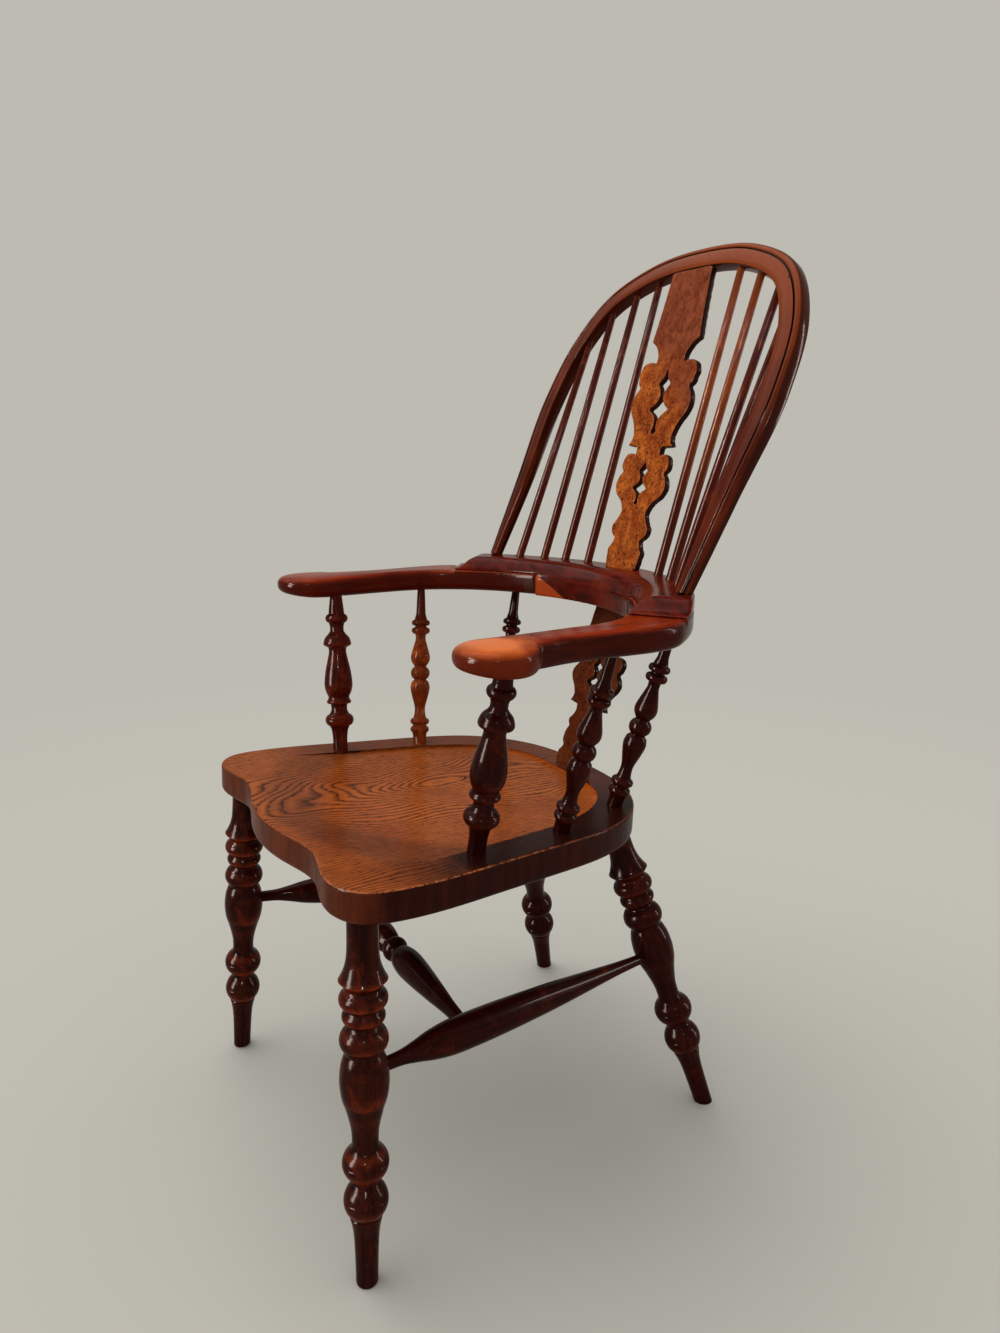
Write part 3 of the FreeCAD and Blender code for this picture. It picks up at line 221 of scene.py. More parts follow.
# %% Dark wood of the turnings
def wood_of_turnings(name, dark, warm, rubbed, rub, wear_and_painted_glow=0.0, blotches=0.5, red_from=None, coat=0.07):
    dark, warm, rubbed = seen(*dark), seen(*warm), seen(*rubbed)
    material, tree, shader = new_material(name)
    bench = put(tree, "Attribute", out="Vector", attribute_name="bench")
    worn = put(tree, "Attribute", out="Fac", attribute_name="worn")
    lengthwise = stretched(tree, bench, (1, 1, 0.07))
    lines = noise(tree, lengthwise, 170, 5, 0.65, 0.4)
    pores = noise(tree, lengthwise, 900, 3, 0.6)
    cloud = noise(tree, bench, 26, 5, 0.7, 0.5)
    colour = mix(tree, between(tree, lines, 0.38, 0.72), dark, warm)
    # This share lays the rubbed colour over the whole piece: on the golden sticks it is worn wood, on the one
    # post it is a painted glow of light.
    colour = mix(tree, between(tree, cloud, 0.52, 0.74, wear_and_painted_glow, min(blotches + wear_and_painted_glow, 1)), colour, rubbed)
    if red_from is not None:
        red_share = between(tree, parts(tree, bench)[2], *red_from, 0.85, 0.0)
        colour = mix(tree, red_share, colour, seen(66, 17, 8))
    patches = between(tree, noise(tree, bench, 75, 4, 0.7), 0.36, 0.60, 0.15, 1.0)
    colour = mix(tree, times(tree, times(tree, worn, patches), rub), colour, rubbed)
    specks = noise(tree, bench, 420, 2, 0.7)
    colour = mix(tree, between(tree, specks, 0.60, 0.68, 0.0, 0.8), colour, dark)
    colour = mix(tree, between(tree, pores, 0.60, 0.70, 0.0, 0.7), colour, dark)
    roughness = between(tree, cloud, 0.35, 0.75, 0.17, 0.27)
    polish(tree, shader, colour, roughness, coat, maths(tree, "ADD", lines, pores), 0.0002)
    return material


dark_wood = wood_of_turnings("dark_wood_of_posts_and_rear_legs", (34, 6, 3), (58, 14, 6), (112, 38, 14), 0.6)
worn_wood = wood_of_turnings("worn_wood_of_the_front_legs", (34, 7, 4), (66, 22, 9), (190, 68, 24), 0.9,
                             blotches=0.28)
# One far-side post is painted orange, partly rubbed wood and partly painted light, the glow where it catches
# the sun.
worn_post_wood_with_painted_glow = wood_of_turnings("worn_wood_of_one_post_with_painted_glow", (70, 16, 6), (118, 42, 14), (240, 116, 36), 0.2,
                                wear_and_painted_glow=0.1, blotches=1.0, red_from=(0.19, 0.14))
stick_wood = wood_of_turnings("red_wood_of_the_sticks", (64, 16, 7), (108, 34, 13), (164, 72, 28), 0.4,
                              coat=0.12)
golden_wood = wood_of_turnings("golden_wood_of_two_sticks", (84, 26, 10), (150, 62, 20), (206, 108, 38), 0.4,
                               wear_and_painted_glow=0.2, red_from=(0.12, 0.24), coat=0.12)
reddened_wood = wood_of_turnings("reddened_wood_of_one_post", (52, 11, 5), (92, 26, 11), (160, 62, 24), 0.6)
print([wood.name for wood in (dark_wood, worn_wood, worn_post_wood_with_painted_glow, stick_wood, golden_wood, reddened_wood)])

# %% [markdown]
# The seat is one thick elm plank, sawn flat across the tree.  The growth rings are tubes about the heart of
# the tree, which lay under the plank and wandered a little.  Where the surface runs nearly along a ring, the
# rings show as long loops, and at the sides they close up into stripes.  So the ring pattern is the distance
# from that heart, bent by a slow noise, and each ring starts with a dark line of open pores.

# %% Elm of the seat
HEART = at(-30, 0, 330)
RING_WIDTH = 0.0036
OVAL_MIDDLE = -20
OVAL_HALF_WIDTH = 0.222
OVAL_HALF_DEPTH = 0.215


def elm_rings(tree, place):
    slow = stretched(tree, place, (1, 0.55, 1))
    bend = put(tree, "TexNoise", slow, None, 5.5, 2.0, 0.5, out="Color")
    bend = vectors(tree, "SUBTRACT", bend, (0.5, 0.5, 0.5))
    bend = vectors(tree, "MULTIPLY", bend, (0.09, 0.0, 0.11))
    across = vectors(tree, "SUBTRACT", place, tuple(HEART))
    across = vectors(tree, "MULTIPLY", across, (1, 0, 1))
    across = vectors(tree, "ADD", across, bend)
    distance = vectors(tree, "LENGTH", across, out="Value")
    fuzz = wander(tree, stretched(tree, place, (1, 0.10, 1)), 420, 0.0005)
    return maths(tree, "FRACT", maths(tree, "DIVIDE", maths(tree, "ADD", distance, fuzz), RING_WIDTH))


def elm_of_seat():
    material, tree, shader = new_material("elm_of_the_seat")
    place = put(tree, "TexCoord", out="Object")
    x, y, z = parts(tree, place)
    ring = elm_rings(tree, place)
    along_grain = stretched(tree, place, (1, 0.07, 1))
    cloud = noise(tree, place, 8, 4, 0.6)
    dashes = noise(tree, stretched(tree, place, (1, 0.25, 1)), 300, 3, 0.7)
    dashes = between(tree, dashes, 0.36, 0.52, 0.35, 1.0)
    pores = noise(tree, along_grain, 850, 3, 0.6)
    line_share = times(tree, between(tree, ring, 0.05, 0.55, 1.0, 0.0), dashes)
    late_share = between(tree, ring, 0.55, 1.0, 0.0, 0.45)
    colour = mix(tree, between(tree, cloud, 0.34, 0.66), seen(154, 71, 25), seen(184, 94, 37))
    colour = mix(tree, late_share, colour, seen(108, 48, 16))
    colour = mix(tree, line_share, colour, seen(34, 10, 4))

    # The rim keeps its stain, which is deepest beside the posts and worn at the front corners.
    rim_height = on_seat(0, 0)
    slope = times(tree, maths(tree, "SUBTRACT", y, rim_height.y), -SEAT_TILT)
    depth = maths(tree, "SUBTRACT", maths(tree, "ADD", slope, rim_height.z), z)
    lip = window_of(tree, depth, 0.0004, 0.0035, 0.0006)
    colour = mix(tree, lip, colour, mix(tree, 0.4, colour, seen(40, 14, 7)))
    stained = mix(tree, between(tree, x, -0.06, 0.13), seen(116, 54, 24), seen(40, 11, 5))
    stained = mix(tree, times(tree, line_share, 0.6), stained, seen(30, 9, 5))
    ragged = maths(tree, "ADD", y, wander(tree, place, 20, 0.02))
    front = between(tree, ragged, plan_y(-120), plan_y(-215))
    rim = mix(tree, front, stained, mix(tree, 0.06, colour, seen(70, 28, 10)))
    # Painted highlight: just inside the back border of the dish the colour is painted a bright warm orange,
    # for the glow the polish shows there.
    wear_and_painted_glow = window_of(tree, depth, 0.0010, 0.0042, 0.0008)
    wear_and_painted_glow = times(tree, wear_and_painted_glow, between(tree, y, 0.02, 0.10))
    colour = mix(tree, times(tree, wear_and_painted_glow, 0.7), colour, seen(204, 98, 24))
    colour = mix(tree, between(tree, depth, 0.0002, 0.0012, 1.0, 0.0), colour, rim)

    # The sides are nearly black, but for the front corners and the thin worn line along the upper edge.
    upwards = facing(tree, (0, -SEAT_TILT, 1))
    reach = off_axis(tree, place, OVAL_MIDDLE, (1 / OVAL_HALF_WIDTH, 1 / OVAL_HALF_DEPTH, 0))
    outer = maths(tree, "MAXIMUM", between(tree, reach, 0.86, 0.90), between(tree, depth, 0.0045, 0.006))
    side = times(tree, between(tree, upwards, 0.80, 0.55), outer)
    streaks = noise(tree, stretched(tree, place, (1, 1, 0.12)), 90, 3)
    corner = between(tree, y, plan_y(-225), plan_y(-262))
    rubbed = mix(tree, between(tree, streaks, 0.35, 0.65), seen(78, 32, 14), seen(108, 48, 21))
    stained = mix(tree, between(tree, streaks, 0.4, 0.7), seen(42, 11, 5), seen(58, 18, 8))
    colour = mix(tree, side, colour, mix(tree, corner, stained, rubbed))
    edge = times(tree, between(tree, upwards, 0.97, 0.88), between(tree, upwards, 0.45, 0.62))
    edge = times(tree, edge, between(tree, noise(tree, place, 150, 4, 0.7), 0.42, 0.58))
    edge = times(tree, edge, between(tree, y, plan_y(60), plan_y(-120), 0.15, 0.9))
    edge = times(tree, edge, between(tree, x, 0.0, 0.20, 0.15, 1.0))
    colour = mix(tree, edge, colour, seen(186, 104, 62))
    colour = mix(tree, between(tree, pores, 0.60, 0.68, 0.0, 0.85), colour, seen(34, 11, 6))
    roughness = between(tree, ring, 0.0, 0.5, 0.42, 0.28)
    relief = maths(tree, "ADD", between(tree, ring, 0.0, 0.25), between(tree, pores, 0.68, 0.55))
    polish(tree, shader, colour, roughness, 0.07, relief, 0.00025, 0.18)
    return material


seat_elm = elm_of_seat()
print(seat_elm.name)

# %% [markdown]
# Arms, crest and hoop are a hard red-brown wood under many coats of polish.  The stain has gone nearly black
# on the sides and is worn to orange where hands rest; the dark sides of the arms are also painted shade.
# Edges wear lighter, which the Pointiness of a dense mesh gives.  Small dark knots are scattered over the
# hoop, whose grain has to follow the bend.

# %% Red wood of the bow
def red_wood(name, dark, middle, worn, stretch, finish, coat=0.08, bent=False):
    dark, middle, worn = seen(*dark), seen(*middle), seen(*worn)
    material, tree, shader = new_material(name)
    place = put(tree, "TexCoord", out="Object")
    run = put(tree, "Attribute", out="Vector", attribute_name="bench") if bent else place
    lengthwise = stretched(tree, run, stretch)
    lines = noise(tree, lengthwise, 150, 5, 0.62, 0.2)
    pores = noise(tree, lengthwise, 850, 3, 0.6)
    cloud = noise(tree, place, 13, 4, 0.6, 0.4)
    colour = mix(tree, between(tree, lines, 0.34, 0.66), dark, middle)
    colour = mix(tree, between(tree, cloud, 0.48, 0.72, 0.0, 0.6), colour, worn)
    edge = between(tree, put(tree, "NewGeometry", out="Pointiness"), 0.52, 0.57, 0.0, 0.55)
    colour = finish(tree, place, run, mix(tree, edge, colour, worn))
    if bent:
        knots = noise(tree, run, 70, 2)
        colour = mix(tree, between(tree, knots, 0.70, 0.76, 0.0, 0.85), colour, seen(30, 8, 5))
    colour = mix(tree, between(tree, pores, 0.60, 0.70, 0.0, 0.55), colour, dark)
    roughness = between(tree, cloud, 0.3, 0.7, 0.14, 0.24)
    polish(tree, shader, colour, roughness, coat, maths(tree, "ADD", lines, pores), 0.00005, 0.10)
    return material

# %% [markdown]
# The hand pads are the most worn places of the chair: the stain has gone and the wood glows orange on top.
# The colour is blended in by how far forward a place lies.  The sides and undersides are painted dark by how
# little they face up, partly the darker stain and partly painted shade, darkest on the near arm.  On the
# inner face of the bow three repairs show: small glued blocks, two dull brown and one a bright wedge.  Each
# is a mask on the bow's angle and the height, with sharp borders.

# %% Worn hand pads and glued blocks
PAD = at(267, -117, ARM_TOP)


def glued_blocks(tree, place, colour):
    x, y, z = parts(tree, place)
    from_centre = maths(tree, "SUBTRACT", y, plan_y(BOW_CENTRE))
    angle = times(tree, maths(tree, "ARCTAN2", x, from_centre), 180 / math.pi)
    inner = between(tree, off_axis(tree, place, BOW_CENTRE), (BOW_INNER + 8) * MM, (BOW_INNER + 6) * MM)
    wedge_top = between(tree, angle, -24, -13.5, (ARM_BOTTOM + 29) * MM, (ARM_BOTTOM + 2) * MM)
    grain = noise(tree, stretched(tree, place, (1, 1, 4)), 60, 4)
    first = window_of(tree, z, ARM_BOTTOM * MM, (ARM_TOP - 4) * MM, 0.0004)
    wedge = between(tree, maths(tree, "SUBTRACT", z, wedge_top), -0.0006, 0.0006, 1.0, 0.0)
    third = window_of(tree, z, (ARM_BOTTOM - 1) * MM, (ARM_TOP - 5) * MM, 0.0004)
    for start, end, soft, upright, block, share in (
            (-29, -25.1, 0.12, first, seen(74, 44, 30), 0.85),
            (-24.8, -13.5, 0.12, wedge, seen(188, 74, 22), 1.0),
            (18, 28, 0.15, third, seen(84, 44, 30), 0.6)):
        mask = times(tree, window_of(tree, angle, start, end, soft), upright)
        mask = times(tree, mask, inner)
        mask = times(tree, mask, between(tree, grain, 0.3, 0.6, share * 0.75, share))
        colour = mix(tree, mask, colour, block)
    return colour


def finish_of_arms(tree, place, run, colour):
    x, y = parts(tree, place)[:2]
    ragged = wander(tree, place, 25, 0.012)
    pad = between(tree, maths(tree, "ADD", y, ragged), PAD.y + 0.045, PAD.y + 0.010)
    pad = times(tree, pad, between(tree, x, -0.05, 0.05, 0.15, 1.0))
    from_middle = vectors(tree, "DISTANCE", place, tuple(PAD), out="Value")
    from_middle = maths(tree, "ADD", from_middle, times(tree, ragged, 0.6))
    bare = times(tree, pad, between(tree, from_middle, 0.020, 0.044, 0.95, 0.30))
    colour = mix(tree, bare, colour, seen(224, 110, 42))
    # Painted shade: sides and undersides are painted darker by how little they face up, over the darker
    # stain, and the near arm darker than the far one.
    right_arm = between(tree, x, -0.05, 0.05, 1.0, 0.0)
    dark_side_colour_stain_and_shade = mix(tree, pad, mix(tree, right_arm, seen(40, 8, 3), seen(66, 14, 5)), seen(92, 24, 8))
    stain_and_painted_shade_of_sides = between(tree, facing(tree, (0, 0, 1)), 0.90, 0.40, 0.0, 0.85)
    return glued_blocks(tree, place, mix(tree, stain_and_painted_shade_of_sides, colour, dark_side_colour_stain_and_shade))


def finish_of_crest(tree, place, run, colour):
    return glued_blocks(tree, place, colour)


def finish_of_hoop(tree, place, run, colour):
    across, forward = parts(tree, run)[1:]
    x, _, height = parts(tree, place)
    # Painted light: the upper part of the hoop, most of all on the near side, is painted lighter, and the far
    # limb is left darker, as the light falls on them.
    painted_light_on_upper_hoop = between(tree, height, 0.86, 1.06)
    painted_light_on_upper_hoop = times(tree, painted_light_on_upper_hoop, between(tree, height, 0.9, 1.1, 0.5, 0.85))
    painted_light_on_upper_hoop = times(tree, painted_light_on_upper_hoop, between(tree, x, -0.20, 0.02, 0.25, 1.0))
    colour = mix(tree, painted_light_on_upper_hoop, colour, seen(150, 68, 27))
    # Painted shade: the groove of the moulding is painted nearly black, for the shade that lies in it.
    colour = mix(tree, window_of(tree, across, 0.0046, 0.0069, 0.0002), colour, seen(16, 4, 2))
    outside = between(tree, across, 0.0128, 0.0142)
    outside = maths(tree, "MAXIMUM", outside, between(tree, forward, 0.002, -0.001))
    outside = maths(tree, "MAXIMUM", outside, between(tree, across, -0.0142, -0.0150))
    return mix(tree, times(tree, outside, 0.85), colour, seen(48, 12, 6))


arm_wood = red_wood("red_wood_of_the_arms", (76, 15, 3), (142, 40, 9), (160, 58, 15), (1, 0.09, 1),
                    finish_of_arms)
crest_wood = red_wood("red_wood_of_the_crest", (54, 9, 3), (98, 22, 7), (132, 44, 18), (0.10, 1, 1),
                      finish_of_crest)
hoop_wood = red_wood("red_wood_of_the_hoop", (60, 14, 5), (98, 32, 11), (122, 48, 17), (0.07, 1, 1),
                     finish_of_hoop, 0.10, bent=True)
print(arm_wood.name, crest_wood.name, hoop_wood.name)

# %% [markdown]
# The splats are sawn from burr wood, which has no straight grain: it is a cloud of tiny knots, orange between
# dark specks.  Sawn edges were stained dark, so faces that don't look forward or back are darkened.

# %% Burr of the splats
def burr_of_splats():
    material, tree, shader = new_material("burr_of_the_splats")
    place = put(tree, "TexCoord", out="Object")
    z = parts(tree, place)[2]
    swirl = noise(tree, place, 26, 5, 0.65, 1.6)
    specks = noise(tree, place, 300, 3, 0.7, 0.6)
    fine = noise(tree, stretched(tree, place, (1, 1, 0.5)), 120, 5, 0.7, 1.0)
    plain = mix(tree, between(tree, swirl, 0.35, 0.65), seen(126, 54, 28), seen(164, 84, 50))
    burr = mix(tree, between(tree, swirl, 0.35, 0.65), seen(152, 62, 17), seen(212, 112, 38))
    upper = between(tree, maths(tree, "ADD", z, wander(tree, place, 14, 0.05)), 0.93, 0.99)
    colour = mix(tree, upper, burr, plain)
    colour = mix(tree, between(tree, z, ARM_TOP * MM, ARM_BOTTOM * MM, 0.0, 0.8), colour, seen(62, 20, 10))
    colour = mix(tree, between(tree, fine, 0.48, 0.68, 0.0, 0.8), colour, seen(84, 32, 12))
    strength = mix(tree, upper, (0.9, 0.9, 0.9, 1), (0.35, 0.35, 0.35, 1))
    speck_share = times(tree, between(tree, specks, 0.54, 0.62), strength)
    colour = mix(tree, speck_share, colour, seen(40, 13, 6))
    edge = between(tree, maths(tree, "ABSOLUTE", facing(tree, (0, -0.96, 0.27))), 0.55, 0.85, 0.95, 0.0)
    colour = mix(tree, edge, colour, seen(28, 8, 5))
    roughness = between(tree, swirl, 0.3, 0.7, 0.24, 0.36)
    polish(tree, shader, colour, roughness, 0.05, maths(tree, "ADD", fine, specks), 0.0002)
    return material


splat_burr = burr_of_splats()
steel, steel_tree, steel_shader = new_material("dull_screw_steel")
spots = noise(steel_tree, put(steel_tree, "TexCoord", out="Object"), 400, 3)
steel_colour = mix(steel_tree, spots, seen(120, 112, 104), seen(70, 60, 52))
steel_tree.links.new(steel_colour, steel_shader.inputs["Base Color"])
steel_tree.links.new(between(steel_tree, spots, 0.3, 0.7, 0.3, 0.6), steel_shader.inputs["Roughness"])
steel_shader.inputs["Metallic"].default_value = 1.0
print(splat_burr.name, steel.name)

# %% [markdown]
# Pieces of the frame whose shape is already right keep it and take a wood.

# %% Wood on the frame's own pieces
def dress(node, material):
    for slot in frame["nodes"][node].material_slots:
        slot.material = material


dress("seat", seat_elm)
dress("crest_screws", steel)

# %% [markdown]
# A few moves come back for every new piece: choose one object, open it in edit mode, apply a modifier or its
# place, and hand the finished piece to the frame.

# %% Moves of the bench
def choose(piece):
    bpy.ops.object.select_all(action="DESELECT")
    piece.select_set(True)
    bpy.context.view_layer.objects.active = piece


def mode(kind):
    bpy.ops.object.mode_set(mode=kind)


def open_up(piece, action="SELECT"):
    """Opens a piece in edit mode with everything selected, or nothing."""
    choose(piece)
    mode("EDIT")
    bpy.ops.mesh.select_all(action=action)


def open_edges(piece, wanted):
    """Opens a piece in edit mode with those edges selected whose two points pass a test."""
    open_up(piece, "DESELECT")
    bpy.ops.mesh.select_mode(type="EDGE")
    mode("OBJECT")
    for edge in piece.data.edges:
        edge.select = wanted(*(piece.data.vertices[i] for i in edge.vertices))
    mode("EDIT")


def finish_with(piece, kind, **settings):
    choose(piece)
    modifier = piece.modifiers.new(kind.lower(), kind)
    for name, value in settings.items():
        setattr(modifier, name, value)
    bpy.ops.object.modifier_apply(modifier=modifier.name)


def new_object(name, data):
    piece = bpy.data.objects.new(name, data)
    bpy.context.collection.objects.link(piece)
    return piece


def fix_place(piece):
    choose(piece)
    bpy.ops.object.transform_apply(location=True, rotation=True, scale=True)


def hand_over(piece, node, material):
    piece.data.materials.clear()
    piece.data.materials.append(material)
    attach(piece, "root")
    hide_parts(node)

# %% [markdown]
# A turner works from half an outline: the gouge cuts straight, rolls a bead, or sweeps through a hollow.  The
# outline is a list of (height, diameter) in millimetres, and these three cuts add to it.

# %% The three cuts of the gouge
def line(outline, height, diameter):
    outline.append((height, diameter))


def bead(outline, height, diameter, widest, cuts=10):
    low, first = outline[-1]
    half = (height - low) / 2
    swell = widest / 2 - (first + diameter) / 4
    radius = (half ** 2 + swell ** 2) / (2 * swell)
    for cut in range(1, cuts + 1):
        t = cut / cuts
        out = math.sqrt(max(radius ** 2 - (half * (2 * t - 1)) ** 2, 0)) - (radius - swell)
        outline.append((low + 2 * half * t, first + (diameter - first) * t + 2 * out))


def flow(outline, *places, cuts=5):
    knots = [outline[-1], *places]
    for i in range(len(knots) - 1):
        four = knots[max(i - 1, 0)], knots[i], knots[i + 1], knots[min(i + 2, len(knots) - 1)]
        for cut in range(1, cuts + 1):
            t = cut / cuts
            outline.append(tuple(
                0.5 * (2 * s + (e - b) * t + (2 * b - 5 * s + 4 * e - a) * t ** 2
                       + (3 * s - b - 3 * e + a) * t ** 3) for b, s, e, a in zip(*four)))


def scribe(outline, height, depth=0.7, half=0.6):
    """A fine line cut with the point of the skew at a height."""
    for (low, first), (high, last) in zip(outline, outline[1:]):
        if low <= height < high:
            wide = first + (last - first) * (height - low) / (high - low)
            outline += [(height - half, wide), (height, wide - 2 * depth), (height + half, wide)]
            outline.sort()
            return

# %% [markdown]
# On the screen the lathe is the Spin tool.  A single point is drawn up along the outline by extruding it, the
# chain is spun once round the axis, and the seam and the two poles are merged.  A small bevel then breaks
# the sharp corners, as sandpaper does.  Before a copy is stood in its place, its straight coordinates are
# stored as "bench", and "worn" is set from how proud a ring is and how much it looks down.

# %% The lathe
LATHE_STEPS = 56
WORN_PER_MM = 0.57
TURN_APART = 2.4


def draw_chain(name, places):
    """Draws a chain of points, in millimetres, by extruding one point, and leaves it selected."""
    bpy.ops.object.select_all(action="DESELECT")
    bpy.ops.mesh.primitive_plane_add(size=0.001)
    piece = bpy.context.object
    piece.name = name
    mode("EDIT")
    bpy.ops.mesh.select_mode(type="VERT")
    bpy.ops.mesh.select_all(action="SELECT")
    bpy.ops.mesh.merge(type="CENTER")
    bpy.ops.transform.translate(value=[c * MM for c in places[0]])
    for last, place in zip(places, places[1:]):
        step = [(new - old) * MM for old, new in zip(last, place)]
        bpy.ops.mesh.extrude_region_move(TRANSFORM_OT_translate={"value": step})
    bpy.ops.mesh.select_all(action="SELECT")
    return piece


def spin_outline(name, outline):
    half = [(diameter / 2, 0, height) for height, diameter in outline]
    piece = draw_chain(name, [(0, 0, outline[0][0]), *half, (0, 0, outline[-1][0])])
    bpy.ops.mesh.spin(steps=LATHE_STEPS, angle=2 * math.pi, center=(0, 0, 0), axis=(0, 0, 1))
    bpy.ops.mesh.select_all(action="SELECT")
    bpy.ops.mesh.remove_doubles(threshold=0.000005)
    bpy.ops.mesh.normals_make_consistent(inside=False)
    mode("OBJECT")
    finish_with(piece, "BEVEL", width=0.0005, segments=2, limit_method="ANGLE", angle_limit=math.radians(32))
    bpy.ops.object.shade_smooth()
    return piece


def store(mesh, name, kind, field, values):
    mesh.attributes.new(name, kind, "POINT")
    mesh.attributes[name].data.foreach_set(field, values)


def store_bench(mesh):
    store(mesh, "bench", "FLOAT_VECTOR", "vector", [c for vertex in mesh.vertices for c in vertex.co])


def mean_radius(outline, height, reach=9):
    near = [diameter / 2 for level, diameter in outline if abs(level - height) < reach]
    return sum(near) / len(near) if near else 0


def store_wear(mesh, outline):
    """Stores as "worn" how proud and how exposed each place is."""
    low, high = outline[0][0], outline[-1][0]
    means = [mean_radius(outline, low + step) for step in range(int(high - low) + 2)]
    values = []
    for vertex in mesh.vertices:
        proud = vertex.co.xy.length / MM - means[int(max(vertex.co.z / MM - low, 0))]
        exposed = 0.15 + 0.85 * max(0, -vertex.normal.z)
        values.append(min(max(proud * WORN_PER_MM * exposed, 0), 1))
    store(mesh, "worn", "FLOAT", "value", values)


def stand(piece, low, high, turn):
    """Turns a straight piece about itself and leans it from its foot at low to its head at high."""
    lean = (high - low).to_track_quat("Z", "Y").to_matrix().to_4x4()
    piece.matrix_world = Matrix.Translation(low) @ lean @ Matrix.Rotation(turn, 4, "Z")
    fix_place(piece)


def turned_copies(outline, places, material):
    """Turns one piece and stands a copy of it at each place: (name, foot, head)."""
    pattern = spin_outline("pattern", outline)
    store_bench(pattern.data)
    store_wear(pattern.data, outline)
    made = []
    for number, (name, low, high) in enumerate(places):
        piece = new_object(name, pattern.data.copy())
        stand(piece, low, high, TURN_APART * number)
        hand_over(piece, name.replace("turned_", ""), material)
        made.append(piece)
    bpy.data.objects.remove(pattern)
    print("turned", [piece.name for piece in made], len(made[0].data.polygons), "faces each")
    return made


def both(name, low, high):
    """The same place on the left and on the right of the chair."""
    flip = Vector((-1, 1, 1))
    return [("turned_" + name.replace("side", "left"), low, high),
            ("turned_" + name.replace("side", "right"), low * flip, high * flip)]

# %% [markdown]
# A leg has, from the floor up: a plain foot, two balls, a vase, three rings and a flared cap.  All four are
# turned to one pattern.  A leg leans both ways, so after it is placed its foot is cut level with the floor.

# %% Legs
FRONT_LEG = (at(240, -260, 0), on_seat(210, -240, SEAT_TOP - SEAT_THICKNESS))
REAR_LEG = (at(200, 251, 0), on_seat(113.5, 146.5, SEAT_TOP - SEAT_THICKNESS))
LEG_FOOT = 24.5
LEG_VASE = 52.5
LEG_TOP = 32.5
FOOT_ROUNDING = 0.0025


def leg_outline(length):
    k, v = length / 416, LEG_VASE
    o = [(-14, LEG_FOOT - 1)]
    flow(o, (20, LEG_FOOT), (50, LEG_FOOT + 2), (66, LEG_FOOT + 5), (80, LEG_FOOT + 11))
    line(o, 81.5, LEG_FOOT + 9)
    bead(o, 117, LEG_FOOT + 7, 48)
    line(o, 119.5, LEG_FOOT + 4)
    line(o, 124, LEG_FOOT + 5)
    bead(o, 158.5, LEG_FOOT + 7, 50)
    flow(o, (165, v * 0.54), (182, v * 0.575), (204, v * 0.77), (218, v * 0.93),
         (235, v), (252, v * 0.95), (263, v * 0.83))
    line(o, 266, v * 0.76)
    line(o, 270, v * 0.79)
    bead(o, 295.5, v * 0.68, v * 0.98)
    line(o, 298, v * 0.64)
    line(o, 301, v * 0.76)
    bead(o, 313, v * 0.76, v * 0.87, cuts=6)
    line(o, 315, v * 0.72)
    line(o, 317, v * 0.79)
    bead(o, 335, v * 0.79, v * 0.98)
    line(o, 338, v * 0.74)
    line(o, 342, v * 0.82)
    line(o, 347, v * 0.985)
    flow(o, (353, v * 0.86), (364, v * 0.71), (380, LEG_TOP + 0.8), (420, LEG_TOP))
    scribe(o, 102)
    scribe(o, 144)
    return [(height * k, diameter) for height, diameter in o]


def cut_level(piece, height):
    """Saws the foot of a piece off level at a height and closes the cut."""
    open_up(piece)
    bpy.ops.mesh.bisect(plane_co=(0, 0, height), plane_no=(0, 0, 1), use_fill=True, clear_inner=True)
    mode("OBJECT")


def round_foot(piece):
    """Takes the sharp edge off the foot, where it would split when the chair is dragged."""
    rim = {i for face in piece.data.polygons if face.normal.z < -0.99 for i in face.vertices
           if abs(piece.data.vertices[i].co.z) < 1e-5}
    open_edges(piece, lambda first, last: first.index in rim and last.index in rim)
    bpy.ops.mesh.bevel(offset=FOOT_ROUNDING, segments=4, affect="EDGES", clamp_overlap=True)
    mode("OBJECT")
    choose(piece)
    bpy.ops.object.shade_smooth_by_angle(angle=math.radians(45))


for name, low, high, wood in (("front_side_leg", *FRONT_LEG, worn_wood),
                              ("rear_side_leg", *REAR_LEG, dark_wood)):
    for leg in turned_copies(leg_outline((high - low).length / MM), both(name, low, high), wood):
        cut_level(leg, 0.0)
        round_foot(leg)

# %% [markdown]
# Stretchers keep the legs from spreading.  The two long ones swell to a third of their length and taper to
# the back leg; the cross one has two bulbs and a ring.  They enter the thick part of their neighbours.

# %% Stretchers
STRETCHER_WIDEST = 39
CROSS_AT = 0.305


def along(low, high, height):
    """The point of a leaning axis at a height above the floor."""
    return low + (high - low) * (height * MM / high.z)


def stretcher_outline(length):
    o = [(-24, 12), (0, 15)]
    shape = ((0.05, 0.42), (0.10, 0.60), (0.15, 0.82), (0.21, 0.97), (0.28, 1.0),
             (0.38, 0.98), (0.50, 0.90), (0.62, 0.78), (0.75, 0.60), (0.88, 0.42))
    flow(o, *[(share * length, STRETCHER_WIDEST * wide) for share, wide in shape], (length, 12.5), cuts=6)
    line(o, length + 24, 11)
    return o


front = along(*FRONT_LEG, 241)
rear = along(*REAR_LEG, 215)
step = (rear - front).normalized() * (LEG_VASE / 2 * MM)
span = (rear - front).length / MM - LEG_VASE
turned_copies(stretcher_outline(span), both("side_stretcher", front + step, rear - step), dark_wood)


